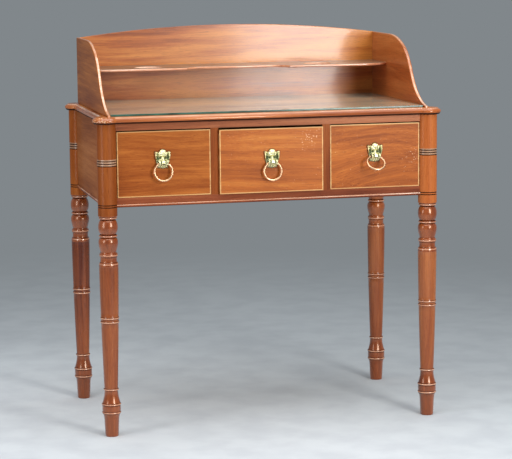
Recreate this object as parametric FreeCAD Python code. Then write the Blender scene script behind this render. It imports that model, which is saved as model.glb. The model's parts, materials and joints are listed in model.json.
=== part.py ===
import FreeCAD, Part
import math
import os

from FreeCAD import Vector

# A mahogany washstand with a three-drawer frieze on turned legs, a moulded top with round
# corners, a sheet of glass, and a low gallery with a shelf. Lengths are in millimetres.
# X runs to the right, Y to the back and Z up. The pieces are drawn about the middle of the
# four legs, and moved in Y as they are written, so that the origin lies on the floor under
# the middle of the whole stand, its hanging rings and ajar drawer included.

# Stance: the four leg axes and the main heights
leg_span_x = 829.5
leg_span_y = 441.5
top_height = 800.0
top_thickness = 17.0
case_height = 207.0
column_radius = 24.0
column_skirt = 21.0
face_proud = 7.0
overrun = 2.0

# Turning of the foot, from the floor up. A long taper swells a little past a straight line
foot_height = 58.0
foot_bottom_radius = 15.8
foot_top_radius = 20.6
taper_swell = 0.5
collar_height = 26.0
collar_radius = 23.7
collar_chamfer = 2.6
hollow_height = 20.0

# Turning of the shaft and of the beads under the case
shaft_bottom_radius = 17.0
shaft_swell = 1.0
shoulder_height = 4.0
neck_radius = 20.8
neck_height = 12.0
ring_height = 8.0
ring_crest_radius = 23.2
gap_radius = 20.4
vase_height = 39.0
vase_crown_height = 4.0
vase_radius = 24.3
ball_height = 43.0
ball_radius = 24.0
ball_chamfer = 4.0
column_slope_height = 4.0

# Case: rails, panels, beads and dividers
panel_thickness = 18.0
back_thickness = 16.0
rail_depth = 45.0
top_rail_height = 17.5
bottom_rail_height = 15.5
bead_height = 8.0
bead_proud = 2.5
bead_round_share = 0.8
bead_depth = 14.0
divider_width = 20.0
middle_opening = 268.0
scribe_gap = 0.1
tenon_thickness = 9.0
tenon_length = 14.0
tenon_shoulder = 3.0
panel_tenon_height = 62.0
panel_tenon_inset = 24.0
mortise_clearance = 1.0
dovetail_root = 16.0
dovetail_spread = 3.0
dovetail_thickness = 11.0
stub_tenon = 6.0
stub_width_share = 0.5
stub_depth_share = 0.6

# Inside the case
runner_thickness = 20.0
runner_bearing = 15.0
centre_runner_width = 56.0
housing_depth = 5.0
guide_height = 20.0
guide_clearance = 0.3
leg_clearance = 0.4
stop_width = 36.0
stop_depth = 20.0
stop_thickness = 5.0
stop_inset = 52.0
glue_block_leg = 15.0
glue_block_length = 60.0

# Drawers
drawer_rear_room = 44.5
drawer_front_thickness = 18.0
drawer_front_height = 162.6
drawer_rise = 0.5
drawer_side_gap = 0.7
drawer_side_thickness = 9.5
drawer_side_height = 158.0
drawer_back_thickness = 9.0
drawer_back_drop = 8.0
drawer_bottom_thickness = 6.0
drawer_bottom_height = 9.0
drawer_groove = 4.5
lap = 5.0
tail_count = 3
tail_slope_share = 0.16
tail_width_share = 0.68
stringing_width = 2.5
stringing_depth = 1.2
stop_gap = 0.3
middle_ajar = 9.0
middle_front_drop = 1.6

# Top board and its moulded edge
top_overhang_x = 15.5
top_overhang_y = 25.5
lobe_overhang = 10.0
nosing_set_back = 6.0
nosing_slope = 5.5

# Glass sheet and gallery
glass_thickness = 5.0
glass_set_back = 28.0
glass_gap = 1.0
gallery_set_in = 17.25
gallery_thickness = 9.0
gallery_side_height = 173.5
gallery_back_rise = 27.5
gallery_tip_set_back = 9.0
gallery_tip_height = 4.0
gallery_housing = 3.0
gallery_sweep_length = 301.0
sweep_shares = [((0.24, 0.155), (0.41, 0.465)), ((0.503, 0.68), (0.61, 0.83)),
                ((0.78, 0.945), (1.0, 1.0))]

# Gallery shelf with its two beaker holes
shelf_height = 97.0
shelf_thickness = 6.5
shelf_depth_end = 120.0
shelf_depth_full = 158.0
shelf_depth_scoop = 121.0
shelf_depth_bow = 128.0
shelf_end_run = 75.0
shelf_scoop_half = 139.0
shelf_scoop_run = 34.0
shelf_bend_share = 0.33
shelf_offset = -11.0
beaker_hole_radius = 36.0
beaker_hole_spacing = 459.0
beaker_hole_depth = 102.0

# Ring pulls: a lion's mask on a plate, held by a post and nut, with a ring in its mouth
mask_width = 42.0
mask_rise = 33.0
mask_beard = 16.5
plate_thickness = 2.2
pivot_stand_off = 9.6
plate_shares = [(0.0, 1.0), (0.24, 0.97), (0.40, 0.85), (0.52, 0.76), (0.78, 0.86), (0.94, 0.84),
                (1.0, 0.72), (0.88, 0.30), (0.71, -0.08), (0.66, -0.55), (0.50, -0.92),
                (0.28, -0.80), (0.16, -0.98), (0.0, -1.0)]
brow_shares = [(0.0, 0.96), (0.34, 0.88), (0.52, 0.60), (0.44, 0.24), (0.0, 0.18)]
brow_proud = 7.5
brow_narrow_share = 0.62
muzzle_shares = [(0.0, 0.50), (0.24, 0.42), (0.40, 0.14), (0.36, -0.30), (0.0, -0.42)]
muzzle_proud = 11.5
muzzle_narrow_share = 0.66
rim_shares = [(0.80, 0.82), (0.94, 0.80), (0.84, 0.14), (0.70, 0.10)]
rim_proud = 5.0
lug_radius = 5.4
lug_sides = 8
post_sides = 6
ring_runs = 24
ring_sides = 6
lug_wall = 0.9
lug_width = 9.0
lug_bore_radius = 3.3
ring_radius = 22.8
ring_wire_radius = 2.1
post_radius = 2.4
post_clearance = 0.4
post_rise = 12.0
nut_width = 11.0
nut_thickness = 4.0
nut_clearance = 0.15
post_end = 2.0

# Each drawer's place, how far it stands open, and how its pull sits and hangs
left_pull_shift = -4.0
left_pull_height = 85.0
left_ring_tilt = 6.0
middle_pull_shift = 0.0
middle_pull_height = 77.5
middle_ring_tilt = 4.0
right_pull_shift = -1.0
right_pull_height = 82.5
right_ring_tilt = 46.0

# Worked-out planes and levels
leg_x = leg_span_x / 2
leg_y = leg_span_y / 2
side_face = leg_x + face_proud
front_face = -leg_y - face_proud
back_face = leg_y + face_proud
top_under = top_height - top_thickness
case_bottom = top_under - case_height
sill_top = case_bottom + bead_height + bottom_rail_height
opening_top = top_under - top_rail_height
column_inner = leg_x - column_radius
rail_back = front_face + rail_depth
panel_inner = side_face - panel_thickness
back_inner = back_face - back_thickness
divider_x = (middle_opening + divider_width) / 2
nose_x = leg_x + top_overhang_x
nose_y = leg_y + top_overhang_y
lobe_radius = column_radius + lobe_overhang
gallery_inner = nose_x - gallery_set_in - gallery_thickness
gallery_back_front = back_face - gallery_thickness
ring_reach = 2 * ring_radius


def box(x0, x1, y0, y1, z0, z1):
    return Part.makeBox(x1 - x0, y1 - y0, z1 - z0, Vector(x0, y0, z0))


def rod(radius, start, end):
    axis = end - start
    return Part.makeCylinder(radius, axis.Length, start, axis)


def fuse(first, *others):
    return first.multiFuse(list(others)).removeSplitter()


def cut(shape, *tools):
    return shape.cut(list(tools))


def on_xy(a, b):
    return Vector(a, b, 0)


def on_xz(a, b):
    return Vector(a, 0, b)


def on_yz(a, b):
    return Vector(0, a, b)


def face_from(place, start, steps):
    """Closed face: each step is an end point, or a middle and an end point for an arc."""
    edges = []
    here = place(*start)
    for step in steps + [start]:
        if isinstance(step[0], tuple):
            middle, end = place(*step[0]), place(*step[1])
            edges.append(Part.Arc(here, middle, end).toShape())
        else:
            end = place(*step)
            if end.distanceToPoint(here) > 0:
                edges.append(Part.LineSegment(here, end).toShape())
        here = end
    return Part.Face(Part.Wire(edges))


def mirrored_x(shape):
    return shape.mirror(Vector(0, 0, 0), Vector(1, 0, 0))


def mirrored_y(shape):
    return shape.mirror(Vector(0, 0, 0), Vector(0, 1, 0))


def moved(shape, x=0, y=0, z=0):
    return shape.translated(Vector(x, y, z))


def swelled(start, end, swell):
    """A long taper to the end point, as a step of an outline, with its small swell."""
    return (((start[0] + end[0]) / 2 + swell, (start[1] + end[1]) / 2), end)


def foot_steps():
    """The tapered foot, its chamfered collar, and the hollow that leads to the shaft."""
    collar_top = foot_height + collar_height
    return [
        swelled((foot_bottom_radius, 0), (foot_top_radius, foot_height), taper_swell),
        (collar_radius, foot_height + collar_chamfer),
        (collar_radius, collar_top - collar_chamfer),
        (shaft_bottom_radius, shaft_start()),
    ]


def shaft_start():
    return foot_height + collar_height - collar_chamfer + hollow_height


def stack_steps(shoulder):
    """The shoulder, neck, ring, vase and ball that stack up under the column."""
    neck = shoulder + shoulder_height
    ring_base = neck + neck_height
    vase = ring_base + ring_height
    ball = vase + vase_height
    ball_top = ball + ball_height
    return [
        (neck_radius, neck),
        (neck_radius, ring_base),
        (ring_crest_radius, ring_base + ring_height / 2),
        (gap_radius, vase),
        swelled((gap_radius, vase), (vase_radius, ball - vase_crown_height), taper_swell),
        (gap_radius, ball),
        (ball_radius, ball + ball_chamfer),
        (ball_radius, ball_top - ball_chamfer),
        (gap_radius, ball_top),
        (column_radius, ball_top + column_slope_height),
    ]


def stack_height():
    beads = ring_height + vase_height + ball_height
    return shoulder_height + neck_height + beads + column_slope_height


def turned_leg():
    """One leg, turned in one length from the floor to the underside of the top."""
    shoulder = case_bottom - column_skirt - stack_height()
    shaft = swelled((shaft_bottom_radius, shaft_start()), (column_radius, shoulder), shaft_swell)
    steps = foot_steps() + [shaft] + stack_steps(shoulder)
    steps += [(column_radius, top_under), (0, top_under), (0, 0)]
    outline = face_from(on_xz, (foot_bottom_radius, 0), steps)
    return outline.revolve(Vector(0, 0, 0), Vector(0, 0, 1), 360)


def columns(gap):
    """The four columns as plain cylinders, to scribe the rails and panels round them."""
    return [
        rod(column_radius + gap, Vector(x, y, case_bottom - overrun), Vector(x, y, top_height))
        for x in (-leg_x, leg_x)
        for y in (-leg_y, leg_y)
    ]


def sill_tenon(grow):
    """The bottom rail's tenon into the right front leg; grow is the mortise's spare depth."""
    low = case_bottom + bead_height + tenon_shoulder
    high = sill_top - tenon_shoulder
    end = column_inner + tenon_length + grow
    return box(leg_x - column_radius - tenon_length, end, -leg_y - tenon_thickness / 2,
               -leg_y + tenon_thickness / 2, low, high)


def rail_dovetail(grow):
    """The top rail's dovetail, let into the top of the right front leg."""
    start = leg_x - column_radius - tenon_length
    end = column_inner + tenon_length
    narrow = dovetail_root / 2
    wide = narrow + dovetail_spread
    outline = face_from(on_xy, (start, -narrow), [(column_inner, -narrow), (end, -wide),
                                                  (end, wide), (column_inner, narrow),
                                                  (start, narrow)])
    dovetail = outline.extrude(Vector(0, 0, dovetail_thickness + grow))
    return moved(dovetail, y=-leg_y, z=top_under - dovetail_thickness)


def panel_tenons(grow):
    """A side panel's two tenons at its front end, into the right front leg."""
    middle = leg_x - face_proud / 2
    start = -leg_y + column_radius + tenon_length
    end = -leg_y + column_radius - tenon_length - grow
    low = case_bottom + bead_height + panel_tenon_inset
    high = top_under - panel_tenon_inset
    spans = [(low, low + panel_tenon_height), (high - panel_tenon_height, high)]
    return [box(middle - tenon_thickness / 2, middle + tenon_thickness / 2, end, start, z0, z1)
            for z0, z1 in spans]


def back_tenons(grow):
    """The back panel's two tenons at its right end, into the right back leg."""
    middle = leg_y - face_proud / 2
    start = column_inner - tenon_length
    end = column_inner + tenon_length + grow
    low = case_bottom + panel_tenon_inset
    high = top_under - panel_tenon_inset
    spans = [(low, low + panel_tenon_height), (high - panel_tenon_height, high)]
    return [box(start, end, middle - tenon_thickness / 2, middle + tenon_thickness / 2, z0, z1)
            for z0, z1 in spans]


def front_leg():
    """The right front leg with its mortises and dovetail socket."""
    leg = moved(turned_leg(), leg_x, -leg_y)
    return cut(leg, sill_tenon(mortise_clearance), rail_dovetail(overrun),
               *panel_tenons(mortise_clearance))


def back_leg():
    """The right back leg with its mortises."""
    leg = moved(turned_leg(), leg_x, leg_y)
    side = [mirrored_y(tenon) for tenon in panel_tenons(mortise_clearance)]
    return cut(leg, *back_tenons(mortise_clearance), *side)


def side_panel():
    """The right side panel, scribed round both columns, with its tenons."""
    board = box(panel_inner, side_face, -leg_y, leg_y, case_bottom + bead_height, top_under)
    board = cut(board, *columns(scribe_gap))
    tenons = panel_tenons(0)
    return fuse(board, *tenons, *[mirrored_y(tenon) for tenon in tenons])


def back_panel():
    board = box(-panel_inner, panel_inner, back_inner, back_face, case_bottom, top_under)
    board = cut(board, *columns(scribe_gap))
    tenons = back_tenons(0)
    board = fuse(board, *tenons, *[mirrored_x(tenon) for tenon in tenons])
    return cut(board, *bearer_bars(runner_low, runner_high), *bearer_bars(opening_top, top_under))


def rail(low, high, tenon):
    board = box(-panel_inner, panel_inner, front_face, rail_back, low, high)
    board = cut(board, *columns(scribe_gap))
    return fuse(board, tenon, mirrored_x(tenon))


def divider_stub(x, base, height):
    """The stub tenon that a divider puts into a rail."""
    half = divider_width * stub_width_share / 2
    depth = rail_depth * stub_depth_share / 2
    middle = (front_face + rail_back) / 2
    return box(x - half, x + half, middle - depth, middle + depth, base, base + height)


def divider(x):
    post = box(x - divider_width / 2, x + divider_width / 2, front_face, rail_back,
               sill_top, opening_top)
    return fuse(post, divider_stub(x, sill_top - stub_tenon, stub_tenon),
                divider_stub(x, opening_top, stub_tenon))


def top_rail():
    board = rail(opening_top, top_under, rail_dovetail(0))
    sockets = [divider_stub(x, opening_top, stub_tenon) for x in (-divider_x, divider_x)]
    return cut(board, *sockets, *bearer_bars(opening_top, top_under))


def bottom_rail():
    board = rail(case_bottom + bead_height, sill_top, sill_tenon(0))
    sockets = [divider_stub(x, sill_top - stub_tenon, stub_tenon) for x in (-divider_x, divider_x)]
    return cut(board, *sockets, *bearer_bars(runner_low, runner_high))


def bead_strip(length):
    """A half-round nosing along X with its flat back at y = bead_depth."""
    round_start = bead_proud * (bead_round_share - 1)
    outline = face_from(on_yz, (round_start, 0), [
        (bead_depth, 0), (bead_depth, bead_height), (round_start, bead_height),
        ((-bead_proud, bead_height / 2), (round_start, 0))])
    strip = outline.extrude(Vector(length, 0, 0))
    return moved(strip, x=-length / 2, z=case_bottom)


def front_bead():
    strip = moved(bead_strip(leg_span_x), y=front_face)
    return cut(strip, *columns(scribe_gap))


def side_bead():
    """The right side's bead, under the side panel."""
    strip = bead_strip(leg_span_y)
    strip.rotate(Vector(0, 0, 0), Vector(0, 0, 1), 90)
    return cut(moved(strip, x=side_face), *columns(scribe_gap))


# The runners' lower and upper faces, shared by the rail and the back that house them
runner_high = sill_top
runner_low = sill_top - runner_thickness + bead_height


def bearer_spans():
    """Where the four runners and the four kickers above them stand across the case."""
    outer = column_inner - runner_bearing
    half = centre_runner_width / 2
    return [(-panel_inner, -outer), (-divider_x - half, -divider_x + half),
            (divider_x - half, divider_x + half), (outer, panel_inner)]


def bearer_bars(low, high):
    """Bars from a housing in the front rail to one in the back, clear of the back legs."""
    bars = []
    for x0, x1 in bearer_spans():
        bar = box(x0, x1, rail_back - housing_depth, back_inner + housing_depth, low, high)
        bars.append(cut(bar, *columns(leg_clearance)))
    return bars


def runners():
    return bearer_bars(runner_low, runner_high)


def drawer_guides():
    """Strips that keep the drawers straight: two outer ones and two behind the dividers."""
    start = rail_back
    outer = box(column_inner + guide_clearance, panel_inner, start, leg_y - column_radius,
                sill_top, sill_top + guide_height)
    half = divider_width / 2
    inner = box(divider_x - half, divider_x + half, start, back_inner, sill_top,
                sill_top + guide_height)
    return [mirrored_x(outer), mirrored_x(inner), inner, outer]


def kickers():
    return bearer_bars(opening_top, top_under)


def stop_pair(x0, x1):
    """Two small blocks on the sill that stop one drawer's front flush with the rail."""
    start = front_face + drawer_front_thickness + stop_gap
    centres = (x0 + stop_inset, x1 - stop_inset)
    return [box(x - stop_width / 2, x + stop_width / 2, start, start + stop_depth,
                sill_top, sill_top + stop_thickness) for x in centres]


def glue_blocks():
    """Triangular blocks in the angle under the top, along the back and the top rail."""
    centres = [side * divider_x + shift for side in (-1, 1) for shift in (-1, 1)]
    leg = glue_block_leg
    outline = face_from(on_yz, (0, 0), [(leg, 0), (leg, -leg)])
    blocks = []
    for x in (-(divider_x + column_inner) / 2, 0, (divider_x + column_inner) / 2):
        rear = outline.extrude(Vector(glue_block_length, 0, 0))
        rear = moved(rear, x - glue_block_length / 2, back_inner - leg, top_under)
        blocks.append(rear)
        front = mirrored_y(outline.extrude(Vector(glue_block_length, 0, 0)))
        blocks.append(moved(front, x - glue_block_length / 2, rail_back + leg, top_under))
    return blocks


def edge_steps(nose):
    """The top's moulded edge in section, from its underside up: a slope, a flat and a slope."""
    inner = nose - nosing_set_back
    low, high = top_under, top_height
    return [(inner, low), (nose, low + nosing_slope), (nose, high - nosing_slope), (inner, high)]


def top_board():
    """The top: a slab moulded on its front and sides, with a round lobe over each leg."""
    right = edge_steps(nose_x)
    left = [(-x, z) for x, z in reversed(right)]
    across = face_from(on_xz, (0, top_under), right + left)
    slab = moved(across.extrude(Vector(0, 2 * nose_y, 0)), y=-nose_y)
    front = [(-y, z) for y, z in reversed(edge_steps(nose_y))]
    along = face_from(on_yz, (back_face, top_under), [(back_face, top_height)] + front)
    slab = slab.common(moved(along.extrude(Vector(2 * nose_x, 0, 0)), x=-nose_x))
    section = face_from(on_xz, (0, top_under), edge_steps(lobe_radius) + [(0, top_height)])
    lobe = section.revolve(Vector(0, 0, 0), Vector(0, 0, 1), 360)
    lobes = [moved(lobe, x, y) for x in (-leg_x, leg_x) for y in (-leg_y, leg_y)]
    return fuse(slab, *lobes)


def glass_sheet():
    return box(-gallery_inner + glass_gap, gallery_inner - glass_gap,
               -nose_y + glass_set_back, gallery_back_front - glass_gap,
               top_height, top_height + glass_thickness)


def gallery_side():
    """The right gallery side: its top edge sweeps up from a low tip and levels off."""
    tip = -nose_y + nosing_set_back + gallery_tip_set_back
    low = top_height + gallery_tip_height
    rise = gallery_side_height - gallery_tip_height

    def on_sweep(share):
        return (tip + gallery_sweep_length * share[0], low + rise * share[1])

    steps = [(tip, top_height), (tip, low)]
    for middle, end in sweep_shares:
        steps.append((on_sweep(middle), on_sweep(end)))
    outline = face_from(on_yz, (back_face, top_height), steps + [(back_face, low + rise)])
    board = moved(outline.extrude(Vector(gallery_thickness, 0, 0)), x=gallery_inner)
    return cut(board, gallery_back(), gallery_shelf())


def gallery_back():
    """The back board, its top edge one long flat arch, housed into the two sides."""
    half = gallery_inner + gallery_housing
    end = top_height + gallery_side_height
    crown = end + gallery_back_rise
    outline = face_from(on_xz, (-half, top_height), [
        (half, top_height), (half, end), ((0, crown), (-half, end))])
    return moved(outline.extrude(Vector(0, gallery_thickness, 0)), y=gallery_back_front)


def shelf_outline():
    """The shelf's plan: bowed ends, two square-cut noses and a bowed scoop between them."""
    half = gallery_inner + gallery_housing
    back = gallery_back_front
    middle = shelf_offset
    end = back - shelf_depth_end
    full = back - shelf_depth_full
    deep = back - shelf_depth_scoop
    bow = back - shelf_depth_bow
    corner = shelf_scoop_half
    inner = corner - shelf_scoop_run
    run = half - shelf_end_run
    bend = run + (1 - shelf_bend_share) * shelf_end_run
    bend_depth = full + (end - full) * shelf_bend_share
    curl = corner - shelf_scoop_run * shelf_bend_share
    curl_depth = (full + deep) / 2
    return face_from(on_xy, (-half, back), [
        (-half, end),
        ((-bend, bend_depth), (-run, full)),
        (middle - corner, full),
        ((middle - curl, curl_depth), (middle - inner, deep)),
        ((middle, bow), (middle + inner, deep)),
        ((middle + curl, curl_depth), (middle + corner, full)),
        (run, full),
        ((bend, bend_depth), (half, end)),
        (half, back)])


def gallery_shelf():
    base = top_height + shelf_height - shelf_thickness
    board = moved(shelf_outline().extrude(Vector(0, 0, shelf_thickness)), z=base)
    holes = []
    for side in (-1, 1):
        x = shelf_offset + side * beaker_hole_spacing / 2
        y = gallery_back_front - beaker_hole_depth
        holes.append(rod(beaker_hole_radius, Vector(x, y, base - overrun),
                         Vector(x, y, base + shelf_thickness + overrun)))
    return cut(board, *holes)


def tails(x0, x1, y_root, y_end, low, high):
    """A row of dovetail tails, narrow at their root and wide at their end."""
    pitch = (high - low) / tail_count
    spread = abs(y_end - y_root) * tail_slope_share
    half = pitch * tail_width_share / 2
    solids = []
    for index in range(tail_count):
        middle = low + (index + 1 / 2) * pitch
        outline = face_from(on_yz, (y_root, middle - half + spread), [
            (y_end, middle - half), (y_end, middle + half), (y_root, middle + half - spread)])
        solids.append(moved(outline.extrude(Vector(x1 - x0, 0, 0)), x=x0))
    return solids


def stringing(x0, x1, z0, z1):
    """Four mitred strips of pale wood let into the edges of a drawer front."""
    def strip(a, b, c, d):
        outline = face_from(on_xz, a, [b, c, d])
        return moved(outline.extrude(Vector(0, stringing_depth, 0)), y=front_face)

    w = stringing_width
    corners = [(x0, z0), (x1, z0), (x1, z1), (x0, z1)]
    inner = [(x0 + w, z0 + w), (x1 - w, z0 + w), (x1 - w, z1 - w), (x0 + w, z1 - w)]
    return [strip(corners[i - 1], corners[i], inner[i], inner[i - 1]) for i in range(len(corners))]


def scaled_points(shares):
    """A mask outline's right half in shares of its half width, its rise and its beard."""
    half = mask_width / 2
    return [(half * a, (mask_rise if b > 0 else mask_beard) * b) for a, b in shares]


def mirrored_outline(points):
    """Close a right half, from the top middle down to the bottom middle, with its left half."""
    return points + [(-x, z) for x, z in reversed(points) if x > 0]


def plate_face():
    """Front outline of the mask's plate about the ring's pivot: crown, ears, cheeks, beard."""
    points = mirrored_outline(scaled_points(plate_shares))
    return face_from(on_xz, points[0], points[1:])


def flat_sided(low, high):
    """A solid between two like outlines, closed with flat faces only."""
    count = len(low)
    faces = [low, high]
    faces += [[low[i - 1], low[i], high[i], high[i - 1]] for i in range(count)]
    shell = Part.Shell([Part.Face(Part.makePolygon(face + face[:1])) for face in faces])
    solid = Part.Solid(shell)
    if solid.Volume < 0:
        solid.reverse()
    return solid


def boss(shares, proud, narrow_share):
    """A boss cast on the plate: an outline that narrows as it stands out from the wood."""
    low = mirrored_outline(scaled_points(shares))
    middle = sum(z for x, z in low) / len(low)
    high = [(x * narrow_share, middle + (z - middle) * narrow_share) for x, z in low]
    return flat_sided([Vector(x, 0, z) for x, z in low],
                      [Vector(x, -proud, z) for x, z in high])


def mane_rims():
    """The two upright rims of the mane, at the mask's sides."""
    points = scaled_points(rim_shares)
    right = face_from(on_xz, points[0], points[1:]).extrude(Vector(0, rim_proud, 0))
    right = moved(right, y=-rim_proud)
    return [right, mirrored_x(right)]


def many_sided(radius, sides, start, reach):
    """A bar of equal flat sides along an axis, from start over the vector reach."""
    turn = FreeCAD.Rotation(Vector(0, 0, 1), reach)
    points = []
    for index in range(sides):
        angle = (index + 1 / 2) * 2 * math.pi / sides
        spoke = Vector(radius * math.cos(angle), radius * math.sin(angle), 0)
        points.append(start + turn.multVec(spoke))
    return Part.Face(Part.makePolygon(points + points[:1])).extrude(reach)


def post(grow):
    """The cast post behind a mask, six-sided, or with grow the hole that takes it."""
    start = Vector(0, -plate_thickness if grow == 0 else -overrun, post_rise)
    length = drawer_front_thickness + nut_thickness + post_end - start.y
    return many_sided(post_radius + grow, post_sides, start, Vector(0, length, 0))


def mask():
    """The cast mask: plate, brow, muzzle, mane rims, mouth lug and post."""
    plate = moved(plate_face().extrude(Vector(0, plate_thickness, 0)), y=-plate_thickness)
    start = Vector(-lug_width / 2, -pivot_stand_off, 0)
    reach = Vector(lug_width, 0, 0)
    lug = many_sided(lug_radius, lug_sides, start, reach)
    web = box(-lug_width / 2, lug_width / 2, -pivot_stand_off, 0, -lug_bore_radius - lug_wall,
              lug_bore_radius + lug_wall)
    bore = many_sided(lug_bore_radius, lug_sides, start - reach, 3 * reach)
    head = fuse(plate, boss(brow_shares, brow_proud, brow_narrow_share),
                boss(muzzle_shares, muzzle_proud, muzzle_narrow_share), *mane_rims(), lug, web,
                post(0))
    return cut(head, bore)


def ring(tilt):
    """The ring hanging from its pivot, raised by its tilt in degrees: short straight runs of
    six-sided wire, joined end to end."""
    sections = []
    for index in range(ring_runs):
        turn = FreeCAD.Rotation(Vector(0, 1, 0), index * 360 / ring_runs)
        wire = []
        for corner in range(ring_sides):
            angle = corner * 2 * math.pi / ring_sides
            radius = ring_radius + ring_wire_radius * math.cos(angle)
            wire.append(turn.multVec(Vector(radius, ring_wire_radius * math.sin(angle), 0)))
        sections.append(wire)
    faces = []
    for index in range(ring_runs):
        low, high = sections[index - 1], sections[index]
        for corner in range(ring_sides):
            loop = [low[corner - 1], low[corner], high[corner], high[corner - 1]]
            faces.append(Part.Face(Part.makePolygon(loop + loop[:1])))
    hoop = Part.Solid(Part.Shell(faces))
    if hoop.Volume < 0:
        hoop.reverse()
    hoop = moved(hoop, z=-ring_radius)
    hoop.rotate(Vector(0, 0, 0), Vector(1, 0, 0), -tilt)
    return moved(hoop, y=-pivot_stand_off)


def nut():
    half = nut_width / 2
    start = drawer_front_thickness
    block = box(-half, half, start, start + nut_thickness, post_rise - half, post_rise + half)
    return cut(block, post(nut_clearance))


def drawer(name, x0, x1, front_height, ajar, pull_shift, pull_height, tilt):
    """One drawer and its pull. Returns each piece's name and solids, drawn shut, then moved."""
    left, right = x0 + drawer_side_gap, x1 - drawer_side_gap
    low = sill_top + drawer_rise
    side_high = low + drawer_side_height
    front_back = front_face + drawer_front_thickness
    end = back_inner - drawer_rear_room
    bottom_low = low + drawer_bottom_height
    bottom_high = bottom_low + drawer_bottom_thickness
    inner_left, inner_right = left + drawer_side_thickness, right - drawer_side_thickness

    bottom = box(inner_left - drawer_groove, inner_right + drawer_groove,
                 front_back - drawer_groove, end, bottom_low, bottom_high)
    back_high = side_high - drawer_back_drop
    back_start = end - drawer_back_thickness

    sides = []
    for a, b in ((left, inner_left), (inner_right, right)):
        front_tails = tails(a, b, front_back, front_face + lap, low, side_high)
        back_tails = tails(a, b, back_start, end, bottom_high, back_high)
        board = box(a, b, front_back, back_start, low, side_high)
        foot = box(a, b, back_start, end, low, bottom_high)
        board = fuse(board, foot, *front_tails, *back_tails)
        sides.append(cut(board, bottom))

    lines = stringing(left, right, low, low + front_height)
    pull_x = (left + right) / 2 + pull_shift
    pull_z = sill_top + pull_height
    post_hole = moved(post(post_clearance), pull_x, front_face, pull_z)
    front = box(left, right, front_face, front_back, low, low + front_height)
    front = cut(front, *sides, bottom, *lines, post_hole)
    back = cut(box(left, right, back_start, end, bottom_high, back_high), *sides)

    def at_pull(shape):
        return moved(shape, pull_x, front_face, pull_z)

    pieces = {
        "drawer_front_" + name: [front],
        "drawer_side_left_" + name: [sides[0]],
        "drawer_side_right_" + name: [sides[1]],
        "drawer_back_" + name: [back],
        "drawer_bottom_" + name: [bottom],
        "stringing_" + name: lines,
        "lion_mask_" + name: [at_pull(mask())],
        "pull_nut_" + name: [at_pull(nut())],
        "ring_" + name: [at_pull(ring(tilt))],
    }
    return {node: [moved(solid, y=-ajar) for solid in solids] for node, solids in pieces.items()}


# Every drawer: its name, its opening, its front's height, how far open, and its pull
outer_edge = column_inner
inner_edge = divider_x + divider_width / 2
middle_edge = middle_opening / 2
middle_height = drawer_front_height - middle_front_drop
drawers = [
    ("left", -outer_edge, -inner_edge, drawer_front_height, 0,
     left_pull_shift, left_pull_height, left_ring_tilt),
    ("middle", -middle_edge, middle_edge, middle_height, middle_ajar,
     middle_pull_shift, middle_pull_height, middle_ring_tilt),
    ("right", inner_edge, outer_edge, drawer_front_height, 0,
     right_pull_shift, right_pull_height, right_ring_tilt),
]


def front_reach():
    """How far the foremost ring, lobe or drawer stands before the middle of the legs."""
    reaches = [leg_y + lobe_radius]
    for row in drawers:
        ajar, tilt = row[4], row[7]
        swing = ring_reach * math.sin(math.radians(tilt))
        reaches.append(ajar - front_face + pivot_stand_off + swing + ring_wire_radius)
    return max(reaches)


# The shift in Y that brings the middle of the whole box over the origin
middle_shift = (front_reach() - (leg_y + lobe_radius)) / 2


def case_pieces():
    runner_names = ["runner_left", "runner_middle_left", "runner_middle_right", "runner_right"]
    stops = [block for row in drawers for block in stop_pair(row[1], row[2])]
    pieces = {
        "leg_front_right": [front_leg()],
        "leg_front_left": [mirrored_x(front_leg())],
        "leg_back_right": [back_leg()],
        "leg_back_left": [mirrored_x(back_leg())],
        "side_panel_right": [side_panel()],
        "side_panel_left": [mirrored_x(side_panel())],
        "back_panel": [back_panel()],
        "top_rail": [top_rail()],
        "bottom_rail": [bottom_rail()],
        "divider_left": [divider(-divider_x)],
        "divider_right": [divider(divider_x)],
        "front_bead": [front_bead()],
        "side_bead_right": [side_bead()],
        "side_bead_left": [mirrored_x(side_bead())],
        "drawer_guides": drawer_guides(),
        "kickers": kickers(),
        "drawer_stops": stops,
        "glue_blocks": glue_blocks(),
        "top_board": [top_board()],
        "glass_sheet": [glass_sheet()],
        "gallery_side_right": [gallery_side()],
        "gallery_side_left": [mirrored_x(gallery_side())],
        "gallery_back": [gallery_back()],
        "gallery_shelf": [gallery_shelf()],
    }
    for name, bar in zip(runner_names, runners()):
        pieces[name] = [bar]
    return pieces


def write_pieces():
    os.makedirs("parts", exist_ok=True)
    pieces = case_pieces()
    for row in drawers:
        pieces.update(drawer(*row))
    for node, solids in pieces.items():
        shape = solids[0] if len(solids) == 1 else Part.makeCompound(solids)
        shape = moved(shape, y=middle_shift)
        if not shape.isValid():
            print("not valid:", node)
        shape.exportStep("parts/" + node + ".step")
        print(node, len(shape.Solids), round(sum(solid.Volume for solid in shape.Solids)))


write_pieces()
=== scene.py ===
# %% [markdown]
# A washstand in mahogany, dressed piece by piece. The imported solids already stand at their real
# size and place, so this file only gives them their finish, and builds finer meshes for the
# pieces whose turning, moulding or carving is too fine for the solids. The first step loads the
# solids as a frame.
# %% Load the frame
import json
import math

import bpy
from mathutils import Matrix, Vector


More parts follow.
